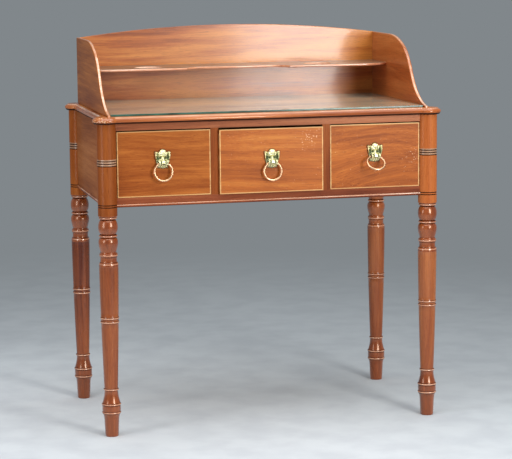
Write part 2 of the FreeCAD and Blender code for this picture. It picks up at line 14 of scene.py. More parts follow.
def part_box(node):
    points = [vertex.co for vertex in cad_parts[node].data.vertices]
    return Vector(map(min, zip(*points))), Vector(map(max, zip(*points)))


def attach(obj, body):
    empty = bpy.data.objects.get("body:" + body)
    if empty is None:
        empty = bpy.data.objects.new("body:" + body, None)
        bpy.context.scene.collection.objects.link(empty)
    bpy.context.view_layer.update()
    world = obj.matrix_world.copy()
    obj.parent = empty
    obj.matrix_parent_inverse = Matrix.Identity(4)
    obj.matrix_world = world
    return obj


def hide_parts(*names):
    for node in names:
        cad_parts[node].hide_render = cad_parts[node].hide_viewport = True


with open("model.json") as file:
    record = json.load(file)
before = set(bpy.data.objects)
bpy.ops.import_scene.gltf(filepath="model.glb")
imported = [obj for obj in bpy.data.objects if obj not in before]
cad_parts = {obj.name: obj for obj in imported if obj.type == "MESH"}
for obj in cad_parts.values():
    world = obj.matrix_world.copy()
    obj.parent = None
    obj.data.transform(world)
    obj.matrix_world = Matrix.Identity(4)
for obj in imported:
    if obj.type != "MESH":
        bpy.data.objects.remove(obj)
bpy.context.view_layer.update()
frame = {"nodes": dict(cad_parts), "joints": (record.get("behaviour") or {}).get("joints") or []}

mm = 0.001

# %% [markdown]
# Every later size is measured from the frame. The four legs stand at the corners of a rectangle,
# so the middle of each leg's box is the axis that the leg was turned about, and the middle of the
# four axes is where the stand's own left, right, front and back are counted from.
# %% Find the leg axes
def box_middle(node):
    """The middle of a solid's box."""
    low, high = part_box(node)
    return (Vector(low) + Vector(high)) / 2


leg_axis = {}
for row in ("front", "back"):
    for side in ("left", "right"):
        middle = box_middle("leg_" + row + "_" + side)
        leg_axis[row, side] = Vector((middle.x, middle.y, 0))
leg_x = (leg_axis["front", "right"].x - leg_axis["front", "left"].x) / 2
leg_y = (leg_axis["back", "left"].y - leg_axis["front", "left"].y) / 2
centre_y = (leg_axis["back", "left"].y + leg_axis["front", "left"].y) / 2
print("leg spans", round(2 * leg_x, 4), round(2 * leg_y, 4), "centre y", round(centre_y, 5))

# %% [markdown]
# The camera comes first, because every later choice is judged through it. Its place and angles
# come from lining up the legs, rails and gallery edges with the photograph: it stands to the left
# of the middle, a little above the top board, and far back with a long lens, which keeps the
# stand's lines nearly parallel. A camera looks along its own -Z, so the matrix is built from
# three directions: to the right, up, and backwards.
# %% Set up the camera
camera_from_middle = Vector((-1.247, -5.110, 1.237))
camera_yaw = math.radians(13.885)
camera_pitch = math.radians(8.268)
camera_roll = math.radians(-0.548)
focal_pixels = 2024.0
picture_width = 512.0
sensor_width = 36.0

ahead = Vector((math.sin(camera_yaw) * math.cos(camera_pitch),
                math.cos(camera_yaw) * math.cos(camera_pitch),
                -math.sin(camera_pitch)))
level = Vector((math.cos(camera_yaw), -math.sin(camera_yaw), 0))
upright = level.cross(ahead)
right = level * math.cos(camera_roll) + upright * math.sin(camera_roll)
up = upright * math.cos(camera_roll) - level * math.sin(camera_roll)

camera_data = bpy.data.cameras.new("camera")
camera_data.sensor_width = sensor_width
camera_data.lens = focal_pixels / picture_width * sensor_width
camera = bpy.data.objects.new("camera", camera_data)
turn = Matrix((right, up, -ahead)).transposed().to_4x4()
camera.matrix_world = Matrix.Translation(camera_from_middle + Vector((0, centre_y, 0))) @ turn
bpy.context.scene.collection.objects.link(camera)
bpy.context.scene.camera = camera
bpy.context.scene.view_settings.view_transform = "Standard"
print("lens", round(camera_data.lens, 2), "mm")


# %% [markdown]
# A few small helpers are used all through the file. One turns a colour as seen on a screen into the
# linear values that a shader needs. One adds a node and fills its inputs in a single call: an
# input takes either a plain value, or the output of another node, which is then linked to it.
# The last two make a mesh from points and faces, and give each face its finish.
# %% Helpers for colours, materials and meshes
def tone(red, green, blue):
    """A colour as it looks on a screen, 0 to 255, turned into the linear values of a shader."""
    def linear(value):
        share = value / 255
        return share / 12.92 if share <= 0.04045 else ((share + 0.055) / 1.055) ** 2.4

    return (linear(red), linear(green), linear(blue), 1.0)


def new_material(name):
    """A material's node tree with its one Principled shader, and the material itself."""
    material = bpy.data.materials.new(name)
    material.use_nodes = True
    return material, material.node_tree, material.node_tree.nodes["Principled BSDF"]


def fill(tree, node, inputs):
    """Set each named input of a node to a value, or link another node's output to it."""
    for name, source in inputs.items():
        if isinstance(source, bpy.types.NodeSocket):
            tree.links.new(source, node.inputs[name])
        else:
            node.inputs[name].default_value = source


def add(tree, kind, inputs, **choices):
    """A new node of a kind, with its choices made and its inputs filled."""
    node = tree.nodes.new("ShaderNode" + kind)
    for name, choice in choices.items():
        setattr(node, name, choice)
    fill(tree, node, inputs)
    return node


def shaded_place(tree):
    """The place being shaded, in the frame's metres."""
    return add(tree, "TexCoord", {}).outputs["Object"]


def maths(tree, operation, *values):
    """The result of a sum on values or outputs."""
    return add(tree, "Math", dict(enumerate(values)), operation=operation).outputs["Value"]


def color_ramp(tree, value, stops):
    """The colour that a value from 0 to 1 picks from (place, colour) stops."""
    ramp = add(tree, "ValToRGB", {"Fac": value})
    elements = ramp.color_ramp.elements
    while len(elements) < len(stops):
        elements.new(0.5)
    for element, (place, colour) in zip(elements, stops):
        element.position = place
        element.color = colour
    return ramp.outputs["Color"]


def mesh_piece(name, vertices, faces, sharp_angle=40.0):
    """A mesh object in the frame, smooth except where faces meet at more than sharp_angle."""
    mesh = bpy.data.meshes.new(name)
    mesh.from_pydata([tuple(v) for v in vertices], [], faces)
    mesh.validate()
    mesh.shade_smooth()
    mesh.set_sharp_from_angle(angle=math.radians(sharp_angle))
    piece = bpy.data.objects.new(name, mesh)
    bpy.context.scene.collection.objects.link(piece)
    return piece


def finish_faces(piece, materials, number_of=lambda polygon: 0):
    """Give a piece its materials, and each face the number that number_of works out for it."""
    for material in materials:
        piece.data.materials.append(material)
    for polygon in piece.data.polygons:
        polygon.material_index = number_of(polygon)


# %% [markdown]
# The stand is on a plain pale floor that runs far out on every side, so the stand can be looked at
# from anywhere. The floor's colour carries a painted pool of light: nearly white near the stand,
# around a spot to its front left, and further out fading into the soft grey of the background, so
# no horizon shows. The fade is painted light by distance, because dimming the floor with lamps
# alone would dim the stand as well.
# %% Lay the floor
floor_radius = 60.0
floor_steps = 96
background = tone(129, 135, 139)
black, white = (0, 0, 0, 1), (1, 1, 1, 1)
painted_light_centre = Vector((-0.95, -0.85, 0))
painted_light_reach = 3.9

vertices = [Vector((0, 0, 0))]
for step in range(floor_steps):
    angle = 2 * math.pi * step / floor_steps
    vertices.append(floor_radius * Vector((math.cos(angle), math.sin(angle), 0)))
faces = [(0, 1 + i, 1 + (i + 1) % floor_steps) for i in range(floor_steps)]
studio_floor = mesh_piece("studio_floor", vertices, faces)


def seen_directly(tree):
    """1 for rays from the camera, and for those that mirrors and glass pass on, else 0."""
    ray = add(tree, "LightPath", {})
    total = ray.outputs["Is Camera Ray"]
    for name in ("Is Glossy Ray", "Is Transmission Ray"):
        total = maths(tree, "MAXIMUM", total, ray.outputs[name])
    return total


paint, tree, shader = new_material("floor_paint")
offset = add(tree, "VectorMath", {0: shaded_place(tree), 1: painted_light_centre}, operation="DISTANCE")
distance = add(tree, "MapRange", {"From Max": painted_light_reach, "Value": offset.outputs["Value"]})
distance = distance.outputs["Result"]
# the pale stops below are painted light: a pool that is brightest at its centre and dims outwards
pale = color_ramp(tree, distance, [(0.14, tone(208, 213, 217)), (0.30, tone(211, 216, 220)),
                                   (0.42, tone(198, 204, 208)), (0.52, tone(186, 192, 196)),
                                   (1.0, tone(172, 178, 182))])
scuffs = add(tree, "TexNoise", {"Scale": 9.0, "Detail": 5.0, "Vector": shaded_place(tree)})
scuff_tone = color_ramp(tree, scuffs.outputs["Fac"],
                        [(0.36, (0.93, 0.93, 0.94, 1)), (0.60, (1.03, 1.03, 1.03, 1))])
scuffed = add(tree, "Mix", {}, data_type="RGBA", blend_type="MULTIPLY")
fill(tree, scuffed, {"Factor": 1.0, "A": pale, "B": scuff_tone})
fill(tree, shader, {"Base Color": scuffed.outputs["Result"], "Roughness": 0.9,
                    "Specular IOR Level": 0.15})
haze = add(tree, "Emission", {"Color": background})
veil = color_ramp(tree, distance, [(0.42, black), (1.0, white)])
blend = add(tree, "MixShader", {"Fac": maths(tree, "MULTIPLY", veil, seen_directly(tree)),
                                1: shader.outputs["BSDF"], 2: haze.outputs["Emission"]})
fill(tree, tree.nodes["Material Output"], {"Surface": blend.outputs["Shader"]})
studio_floor.data.materials.append(paint)
print("floor", len(faces), "faces")


# %% [markdown]
# The polish tells where the lamps stood: each turned bead carries a small bright window on its
# left and a tall one on its right, and the gallery's back board reflects a broad pale patch from
# the right front. So a tall soft box stands at the right front, a small one nearer on the left,
# and a wide one hangs overhead to light the floor evenly. Sizes are chosen to match the width
# of the reflections, and the powers keep a colour close to the value it is written with.
# %% Place the soft boxes
def soft_box(name, place, target, width, height, power, colour=(1.0, 1.0, 1.0)):
    """A rectangular lamp at place that faces target."""
    lamp = bpy.data.lights.new(name, "AREA")
    lamp.shape = "RECTANGLE"
    lamp.size = width
    lamp.size_y = height
    lamp.energy = power
    lamp.color = colour
    holder = bpy.data.objects.new(name, lamp)
    holder.location = place
    holder.rotation_euler = (Vector(target) - Vector(place)).to_track_quat("-Z", "Y").to_euler()
    holder.visible_camera = False
    bpy.context.scene.collection.objects.link(holder)
    return lamp


tall_box = soft_box("tall_box_right", (1.12, -2.9, 1.42), (0.1, 0.0, 0.75),
                    width=0.7, height=1.75, power=33.0, colour=(1.0, 0.985, 0.95))
tall_box.spread = math.radians(130)
soft_box("small_box_left", (-1.45, -0.72, 0.85), (-0.3, -0.15, 0.7),
         width=0.42, height=0.85, power=5.4)
soft_box("overhead_box", (0.0, -0.8, 3.5), (0.0, 0.1, 0.0),
         width=3.6, height=3.2, power=98.0, colour=(0.97, 0.985, 1.0))

world = bpy.data.worlds.new("studio_air")
world.use_nodes = True
tree = world.node_tree
fill(tree, tree.nodes["Background"], {"Color": tone(226, 230, 234), "Strength": 0.42})
seen = add(tree, "Background", {"Color": background})
blend = add(tree, "MixShader", {"Fac": seen_directly(tree),
                                1: tree.nodes["Background"].outputs["Background"],
                                2: seen.outputs["Background"]})
fill(tree, tree.nodes["World Output"], {"Surface": blend.outputs["Shader"]})
bpy.context.scene.world = world
print("lamps", len(bpy.data.lights))


# %% [markdown]
# Mahogany is one recipe used many times, so it is a function. Real boards show four scales of
# pattern: broad changes of tone, growth bands a few millimetres apart, fine streaks, and short
# dark pores, all drawn out along the grain. Each is a noise texture whose space is squeezed along
# the board, and a slow noise bends that space first so that no line runs dead straight.
# %% Helpers for grain
grain_axes = {"X": 0, "Y": 1, "Z": 2}
slow_across, slow_along = 5.0, 2.2
# how dense a noise is across and along the grain, per metre, and its levels of detail
broad_noise, band_noise = (8.0, 1.6, 2.0), (62.0, 2.8, 4.0)
streak_noise, pore_noise = (420.0, 9.0, 3.0), (1500.0, 42.0, 1.0)


def stretched_noise(tree, space, grain, across, along, detail, shift):
    """Noise drawn out along the grain, read from the given space and moved by shift."""
    scale = [across] * 3
    scale[grain_axes[grain]] = along
    mapping = add(tree, "Mapping", {"Scale": scale, "Vector": space,
                                    "Location": (shift, shift * 1.7, shift * 0.6)})
    noise = add(tree, "TexNoise", {"Scale": 1.0, "Detail": detail, "Roughness": 0.55,
                                   "Vector": mapping.outputs["Vector"]})
    return noise.outputs["Fac"]


def bent_space(tree, grain, waver, shift):
    """Object space, pushed about slowly so that the grain wavers by a few millimetres."""
    place = shaded_place(tree)
    scale = [slow_across] * 3
    scale[grain_axes[grain]] = slow_along
    mapping = add(tree, "Mapping", {"Scale": scale, "Vector": place,
                                    "Location": (shift, -shift, shift * 2)})
    noise = add(tree, "TexNoise", {"Scale": 1.0, "Detail": 1.0,
                                   "Vector": mapping.outputs["Vector"]})
    centred = add(tree, "VectorMath", {0: noise.outputs["Color"], 1: (0.5, 0.5, 0.5)},
                  operation="SUBTRACT")
    scaled = add(tree, "VectorMath", {0: centred.outputs["Vector"], "Scale": waver},
                 operation="SCALE")
    added = add(tree, "VectorMath", {0: place, 1: scaled.outputs["Vector"]}, operation="ADD")
    return added.outputs["Vector"]


def weighted_sum(tree, terms):
    """The sum of (output, weight) terms, as one value."""
    total = 0.0
    for socket, weight in terms:
        total = maths(tree, "MULTIPLY_ADD", socket, weight, total)
    return total


# %% [markdown]
# Old wood is marked as well as figured: dark pores, and pale chips where the polish has broken
# away. Near one lobe of the top the chips also serve as a painted highlight. A dark band along a
# drawer's top edge is painted shade, for the shadow in the gap above the drawer. Each mark is a
# mask, white where the mark shows, that mixes a second colour into the board's own. Chips come
# from a fine noise that is lifted near a chosen spot, so they thin out away from it as real ones do.
# %% Helpers for wear
chip_grain, chip_start, chip_full = 330.0, 0.72, 0.77
# the third colour below is the dark of the painted shade along each drawer's top edge
pore_shade, chip_and_glint_tone, gap_shade_tone = tone(120, 70, 50), tone(234, 190, 150), tone(56, 42, 34)


def darkened(tree, colour, mask, shade, amount):
    """Colour multiplied by shade where mask is bright."""
    mix = add(tree, "Mix", {}, data_type="RGBA", blend_type="MULTIPLY")
    fill(tree, mix, {"Factor": maths(tree, "MULTIPLY", mask, amount), "A": colour, "B": shade})
    return mix.outputs["Result"]


def chipped(tree, colour, spots, pale):
    """Colour with small pale chips in each (place, reach, thickness) spot."""
    place = shaded_place(tree)
    noise = add(tree, "TexNoise", {"Scale": chip_grain, "Detail": 2.0, "Vector": place})
    terms = [(noise.outputs["Fac"], 1.0)]
    for centre, reach, thickness in spots:
        away = add(tree, "VectorMath", {0: place, 1: centre}, operation="DISTANCE")
        near = add(tree, "MapRange", {"From Min": reach, "From Max": 0.0,
                                      "Value": away.outputs["Value"]})
        terms.append((near.outputs["Result"], thickness))
    mix = add(tree, "Mix", {}, data_type="RGBA")
    mask = color_ramp(tree, weighted_sum(tree, terms), [(chip_start, black), (chip_full, white)])
    fill(tree, mix, {"Factor": mask, "A": colour, "B": pale})
    return mix.outputs["Result"]


def above(tree, height):
    """1 for points higher than height, and 0 for those below it."""
    split = add(tree, "SeparateXYZ", {"Vector": shaded_place(tree)})
    return maths(tree, "GREATER_THAN", split.outputs["Z"], height)


# %% [markdown]
# Now the recipe itself. The noises add up to one value, the figure, and a ramp turns it into the
# wood's dark, middle and light colours. The polish is a thin clear coat over a satin ground, and
# the pores are pressed in by a small bump.
# %% Mix the mahogany
broad_share, band_share, streak_share = 0.48, 0.33, 0.19
figure_reach, less_gloss, more_gloss = 0.15, 0.05, 0.08
pore_start, pore_full, pore_darkness, pore_depth = 0.60, 0.72, 0.5, 0.1 * mm


def mahogany(name, grain, shift, tones, waver=0.03, gloss=0.3, shine=0.3, contrast=1.0,
             haze=0.07, chips=(), grime_above=None, mirror_tint=white):
    """Polished mahogany. tones are its dark, middle and light colours, grain is X, Y or Z,
    and shift moves the pattern, so that no two boards look cut from the same place. A low
    gloss value is a polished ground, haze is how far the coat blurs a lamp, and mirror_tint
    colours what the ground mirrors, as old shellac does."""
    material, tree, shader = new_material(name)
    space = bent_space(tree, grain, waver, shift)
    broad, bands, streaks, pores = (
        stretched_noise(tree, space, grain, *noise, shift)
        for noise in (broad_noise, band_noise, streak_noise, pore_noise))
    figure = weighted_sum(tree, [(broad, broad_share), (bands, band_share),
                                 (streaks, streak_share)])
    reach = figure_reach / contrast
    colour = color_ramp(tree, figure, list(zip((0.5 - reach, 0.5, 0.5 + reach), tones)))
    pore_mask = color_ramp(tree, pores, [(pore_start, black), (pore_full, white)])
    colour = darkened(tree, colour, pore_mask, pore_shade, pore_darkness)
    if chips:
        colour = chipped(tree, colour, chips, chip_and_glint_tone)
    # painted shade: the top edge of a drawer front is darkened, for the shadow in the gap above it
    if grime_above:
        colour = darkened(tree, colour, above(tree, grime_above), gap_shade_tone, 1.0)
    finish = add(tree, "MapRange", {"To Min": gloss - less_gloss, "To Max": gloss + more_gloss,
                                    "Value": broad})
    bump = add(tree, "Bump", {"Strength": 0.2, "Distance": pore_depth, "Height": pore_mask},
               invert=True)
    fill(tree, shader, {"Base Color": colour, "Roughness": finish.outputs["Result"],
                        "Specular IOR Level": shine, "Specular Tint": mirror_tint,
                        "Coat Weight": shine, "Coat Roughness": haze,
                        "Normal": bump.outputs["Normal"]})
    return material


# %% [markdown]
# A board's look comes mostly from three colours, its dark, middle and light tone, which are read
# off the photograph. Old polish is also worn: pale chips lie near one lobe of the top, where they
# also serve as a painted highlight, and on two drawer fronts. A dark line of painted shade, for
# the shadow of the gap above each drawer, lies along the top edge of each drawer.
# %% Choose the tones and the wear
golden = (tone(128, 60, 20), tone(178, 96, 36), tone(208, 132, 58))
orange = (tone(90, 36, 9), tone(126, 60, 20), tone(154, 84, 36))
amber = (tone(130, 58, 23), tone(178, 96, 46), tone(204, 124, 68))
ruddy = (tone(104, 42, 12), tone(148, 75, 26), tone(180, 103, 42))
brown = (tone(90, 36, 14), tone(142, 72, 34), tone(174, 102, 56))
deep_red = (tone(88, 36, 18), tone(130, 64, 36), tone(160, 90, 56))
bright_red = (tone(88, 32, 13), tone(140, 64, 27), tone(176, 96, 46))
olive = (tone(110, 54, 26), tone(149, 85, 44), tone(178, 113, 66))
honey = (tone(126, 62, 24), tone(168, 97, 42), tone(196, 126, 64))
russet = (tone(122, 60, 32), tone(166, 94, 54), tone(194, 124, 80))
# greyed tones that paint in the pale reflection the shelf's top shows at a low angle
sheen_greyed = (tone(92, 64, 44), tone(130, 100, 76), tone(162, 134, 108))
# pale tones: rubbed wear, with a painted highlight where an edge or arris faces the light
rubbed = (tone(172, 102, 62), tone(222, 160, 122), tone(250, 214, 188))
# pale crest tones: partly rubbed wear, partly a painted highlight on each ring's crest
crest = (tone(158, 92, 62), tone(204, 144, 110), tone(238, 194, 162))
faded = (tone(126, 82, 54), tone(160, 118, 88), tone(186, 148, 118))
# near-black tones of painted shade, for grooves, quirks and faces that look down
shade_tones = (tone(40, 18, 10), tone(58, 28, 16), tone(76, 40, 24))


def top_edge(node):
    """The height of a solid's highest point."""
    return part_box(node)[1][2]


drawer_names = ("left", "middle", "right")
front_top = {name: top_edge("drawer_front_" + name) for name in drawer_names}
front_low = {name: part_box("drawer_front_" + name)[0] for name in drawer_names}
right_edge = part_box("drawer_front_right")[1][0]
# how far down a drawer front the painted shade of the gap above it reaches
gap_shade_depth = 1.8 * mm
# each spot is its middle, how far it reaches, and how thickly the chips lie
# the front-left lobe's chips are partly real chips and partly a painted highlight on its edge
lobe_chip_and_glint_spot = (leg_axis["front", "left"] + Vector((-0.016, -0.022, top_edge("top_board"))),
             0.036, 0.22)
middle_spot = (Vector((0.098, front_low["middle"][1], front_top["middle"] - 0.028)), 0.046, 0.13)
right_spot = (Vector((right_edge - 0.008, front_low["right"][1], front_top["right"] - 0.085)),
              0.050, 0.09)
# the depth printed below is that of the painted shade along each drawer's top edge
print("chip spots", 3, "grime", gap_shade_depth / mm, "mm deep")

# %% [markdown]
# Every board gets its own mixture, so that neighbours differ as they do on the real piece: legs
# run upright, rails and drawer fronts run across, and side panels run from front to back.
# %% Mix each board's wood
# for each wood: grain, shift, tones, waver, gloss, shine, and where they differ contrast and haze
recipes = {
    "column_left": ("Z", 5.6, orange, 0.02, 0.4, 0.1, 0.9),
    "column_right": ("Z", 3.2, amber, 0.02, 0.4, 0.1, 0.7),
    "column_back": ("Z", 6.9, ruddy, 0.02, 0.4, 0.1, 0.9),
    "shaft": ("Z", 1.3, brown, 0.02, 0.26, 0.3, 1.1),
    "beads": ("Z", 8.3, bright_red, 0.02, 0.26, 0.9, 0.9, 0.17),
    "across": ("X", 4.1, golden, 0.03, 0.27, 0.48, 1.6, 0.12),
    "nosing": ("X", 7.1, amber, 0.03, 0.24, 0.5),
    # the shelf's greyed tones are a painted reflection
    "shelf": ("X", 5.3, sheen_greyed, 0.03, 0.34, 0.3),
    "panel_left": ("Y", 7.7, olive, 0.03, 0.5, 0.05),
    "panel_right": ("Y", 2.4, golden, 0.03, 0.5, 0.1),
    "gallery_left": ("Y", 3.9, honey, 0.03, 0.46, 0.1, 1.2),
    "gallery_right": ("Y", 6.6, amber, 0.03, 0.34, 0.25, 1.2),
    "rail": ("X", 2.9, russet, 0.03, 0.36, 0.2),
    "rail_low": ("X", 10.2, deep_red, 0.03, 0.4, 0.1),
    "upright": ("Z", 9.4, ruddy, 0.03, 0.36, 0.12),
    "drawer_left": ("X", 12.6, ruddy, 0.06, 0.34, 0.12, 1.2),
    "drawer_middle": ("X", 15.2, golden, 0.05, 0.32, 0.2, 1.0),
    "drawer_right": ("X", 18.9, golden, 0.12, 0.34, 0.15, 1.2),
    # pale finish for upper arrises and edges: rubbed wear with a painted highlight
    "worn_and_lit_across": ("X", 6.2, rubbed, 0.03, 0.22, 0.6, 1.4),
    # the top's front-left lobe: its chips are partly wear and partly a painted highlight
    "chipped_and_lit_lobe": ("X", 8.8, golden, 0.03, 0.22, 0.6),
    # pale finish for the gallery sides' front edges: rubbed wear with a painted highlight
    "worn_and_lit_deep": ("Y", 3.4, rubbed, 0.03, 0.22, 0.5, 1.4),
    # ring crests: partly rubbed wear, partly a painted highlight
    "crest": ("Z", 11.4, crest, 0.02, 0.2, 0.8),
    "faded": ("Z", 2.7, faded, 0.02, 0.3, 0.4),
    # painted shade in grooves and quirks, under the nosing and under the bead
    "painted_shade": ("Z", 3.7, shade_tones, 0.02, 0.5, 0.05),
}
marks = {name: {} for name in recipes}
marks["beads"]["mirror_tint"] = tone(255, 196, 140)
marks["nosing"]["mirror_tint"] = tone(255, 214, 172)
marks["chipped_and_lit_lobe"]["chips"] = [lobe_chip_and_glint_spot]
marks["drawer_middle"]["chips"] = [middle_spot]
marks["drawer_right"]["chips"] = [right_spot]
# each drawer front gets a band of painted shade along its top edge
for name in drawer_names:
    marks["drawer_" + name]["grime_above"] = front_top[name] - gap_shade_depth
wood = {name: mahogany("mahogany_" + name, *recipe, **marks[name])
        for name, recipe in recipes.items()}
print("woods", ", ".join(wood))

# %% [markdown]
# The drawers' insides, the runners and the blocks under the top are plain pine that never
# shows in the room, so it is unpolished: pale, with wider bands and no coat. The pale line round
# each drawer front is boxwood, close-grained and almost ivory.
# %% Mix the plain woods
wide_band_noise, fine_streak_noise = (48.0, 1.6, 3.0), (420.0, 9.0, 2.0)
wide_share, fine_share = 0.68, 0.32
plain_waver, plain_dark, plain_light = 0.02, 0.38, 0.62


def plain_wood(name, grain, shift, dark, light, roughness):
    """Unpolished wood: bands and streaks between two colours."""
    material, tree, shader = new_material(name)
    space = bent_space(tree, grain, plain_waver, shift)
    bands = stretched_noise(tree, space, grain, *wide_band_noise, shift)
    streaks = stretched_noise(tree, space, grain, *fine_streak_noise, shift)
    figure = weighted_sum(tree, [(bands, wide_share), (streaks, fine_share)])
    colour = color_ramp(tree, figure, [(plain_dark, dark), (plain_light, light)])
    fill(tree, shader, {"Base Color": colour, "Roughness": roughness})
    return material


pine_across = plain_wood("pine_across", "X", 3.3, tone(176, 128, 74), tone(214, 172, 112), 0.62)
pine_deep = plain_wood("pine_deep", "Y", 5.1, tone(168, 120, 70), tone(208, 164, 106), 0.62)
boxwood = plain_wood("boxwood_line", "X", 2.2, tone(190, 130, 70), tone(226, 178, 112), 0.42)
print("plain woods ready")


# %% [markdown]
# The pulls are cast brass. Their colour varies with wear: proud parts are rubbed pale, hollows
# keep a greenish dark. The carving code writes how proud each point is into a colour layer
# called relief, and the brass reads it. Iron for the nuts is dark and dull.
# %% Mix the metals
mottle_grain, mottle_share, relief_share = 260.0, 0.35, 0.8
tarnish_end, rub_start = 0.28, 0.62
duller, brighter = 0.15, 0.04


def brass_material(name, rubbed, tarnished, gloss, reads_relief):
    """Cast brass between a tarnished and a rubbed colour."""
    material, tree, shader = new_material(name)
    mottle = add(tree, "TexNoise", {"Scale": mottle_grain, "Detail": 3.0,
                                    "Vector": shaded_place(tree)})
    value = mottle.outputs["Fac"]
    if reads_relief:
        relief = add(tree, "Attribute", {}, attribute_name="relief")
        value = weighted_sum(tree, [(value, mottle_share), (relief.outputs["Fac"], relief_share)])
    finish = add(tree, "MapRange", {"To Min": gloss + duller, "To Max": gloss - brighter,
                                    "Value": value})
    colour = color_ramp(tree, value, [(tarnish_end, tarnished), (rub_start, rubbed)])
    fill(tree, shader, {"Base Color": colour, "Roughness": finish.outputs["Result"],
                        "Metallic": 1.0})
    return material


mask_brass = brass_material("brass_mask", tone(250, 244, 190), tone(98, 110, 80), 0.36, True)
ring_brass = brass_material("brass_ring", tone(248, 206, 164), tone(206, 158, 118), 0.24, False)

iron, tree, shader = new_material("iron_nut")
specks = add(tree, "TexNoise", {"Scale": 900.0})
rust = color_ramp(tree, specks.outputs["Fac"], [(0.4, tone(70, 66, 62)), (0.7, tone(104, 86, 70))])
fill(tree, shader, {"Base Color": rust, "Metallic": 0.8, "Roughness": 0.5})
print("metals ready")

# %% [markdown]
# The sheet of glass mirrors the back board and lets the wood show through. Plain window glass is
# a little green, and its cut edge, seen end on, is a dark sea green. Light from lamps would not
# pass the refracting surface, so a Transparent shader takes over for shadow rays, and the wood
# under the glass stays lit.
# %% Mix the glass
glass, tree, shader = new_material("window_glass")
fill(tree, shader, {"Base Color": tone(236, 246, 240), "Roughness": 0.03, "IOR": 1.8,
                    "Transmission Weight": 1.0, "Sheen Weight": 0.28, "Sheen Roughness": 0.5,
                    "Sheen Tint": tone(190, 222, 206)})
lets_light = add(tree, "BsdfTransparent", {"Color": tone(226, 240, 232)})
ray = add(tree, "LightPath", {})
either = add(tree, "MixShader", {"Fac": ray.outputs["Is Shadow Ray"], 1: shader.outputs["BSDF"],
                                 2: lets_light.outputs["BSDF"]})
fill(tree, tree.nodes["Material Output"], {"Surface": either.outputs["Shader"]})

glass_edge, tree, shader = new_material("glass_cut_edge")
ripple = add(tree, "TexNoise", {"Scale": 60.0})
green = color_ramp(tree, ripple.outputs["Fac"], [(0.4, tone(26, 62, 54)), (0.65, tone(58, 104, 92))])
fill(tree, shader, {"Base Color": green, "Roughness": 0.18})
print("glass ready")


# %% [markdown]
# Most of the case keeps its solids: rails, dividers, panels, drawer boards and the pale lines have
# the right shape already, and only need their material. The solids are dressed by name, and
# the grain of each runs the way a joiner lays it, along the length of the board.
# %% Dress the solids that stay
def dress(material, *names):
    """Give solids that keep their shape a material of this file's own."""
    for name in names:
        solid = frame["nodes"][name]
        for layer in solid.material_slots:
            layer.link = "OBJECT"
            layer.material = material


dress(wood["panel_left"], "side_panel_left")
dress(wood["panel_right"], "side_panel_right")
dress(wood["rail"], "top_rail")
dress(wood["rail_low"], "bottom_rail")
dress(wood["upright"], "divider_left", "divider_right")
dress(pine_across, "back_panel", "glue_blocks")
dress(pine_deep, "drawer_guides", "kickers", "drawer_stops", "runner_left", "runner_right",
      "runner_middle_left", "runner_middle_right")
for name in drawer_names:
    dress(wood["drawer_" + name], "drawer_front_" + name)
    dress(pine_deep, "drawer_side_left_" + name, "drawer_side_right_" + name)
    dress(pine_across, "drawer_back_" + name, "drawer_bottom_" + name)
    dress(boxwood, "stringing_" + name)
    dress(iron, "pull_nut_" + name)
print("dressed solids")


# %% [markdown]
# Each leg is one turning, from the foot to the underside of the top. A lathe sweeps an outline
# round an axis, and so does this mesh: a list of heights and radii, spun in small steps. The
# outline is put together from the cuts that a turner makes: a long taper, a bead, a hollow
# and a scribed groove. Grooves get their own dark finish, which is painted shade.
# %% Helpers for turning
turning_steps = 72
curve_steps = 10
ball_power, bell_power = 0.72, 1.8
flare_start, flare_power = 0.3, 4


def taper(z0, r0, z1, r1, swell=0.0, steps=curve_steps):
    """Points up a taper that swells by swell past a straight line at its middle."""
    shares = [i / steps for i in range(steps + 1)]
    return [(z0 + (z1 - z0) * s, r0 + (r1 - r0) * s + 4 * swell * s * (1 - s)) for s in shares]


def bead(z0, z1, root, crest, steps=curve_steps):
    """A half-round ring between two heights."""
    middle, half = (z0 + z1) / 2, (z1 - z0) / 2
    angles = [math.pi * i / steps for i in range(steps + 1)]
    return [(middle - half * math.cos(a), root + (crest - root) * math.sin(a)) for a in angles]


def ball(z0, z1, root, crest, low_side=0.0, steps=2 * curve_steps):
    """A ball between two heights: rounder than a bead, so its sides fall away sooner. A low_side
    above 0 moves its widest place upwards."""
    shares = [i / steps for i in range(steps + 1)]
    eased = [s + low_side * s * (s - 1) for s in shares]
    return [(z0 + (z1 - z0) * s, root + (crest - root) * (4 * e * (1 - e)) ** ball_power)
            for s, e in zip(shares, eased)]


def flare(z0, r0, z1, r1, steps=curve_steps):
    """A trumpet curve: straight at first, then opening out faster and faster."""
    shares = [i / steps for i in range(steps + 1)]
    opened = [flare_start * s + (1 - flare_start) * s ** flare_power for s in shares]
    return [(z0 + (z1 - z0) * s, r0 + (r1 - r0) * out) for s, out in zip(shares, opened)]


def belled(z0, r0, z1, r1, steps=curve_steps):
    """A bell: falls in quickly from r0 and settles slowly at r1."""
    shares = [i / steps for i in range(steps + 1)]
    return [(z0 + (z1 - z0) * s, r1 + (r0 - r1) * (1 - s) ** bell_power) for s in shares]


def quarter(z0, r0, z1, r1, flat_first, steps=curve_steps):
    """A quarter of an ellipse between two points, level at one of its ends."""
    points = []
    for i in range(steps + 1):
        angle = math.pi / 2 * i / steps
        along, out = (math.sin(angle), 1 - math.cos(angle))
        if not flat_first:
            along, out = 1 - math.cos(angle), math.sin(angle)
        points.append((z0 + (z1 - z0) * along, r0 + (r1 - r0) * out))
    return points


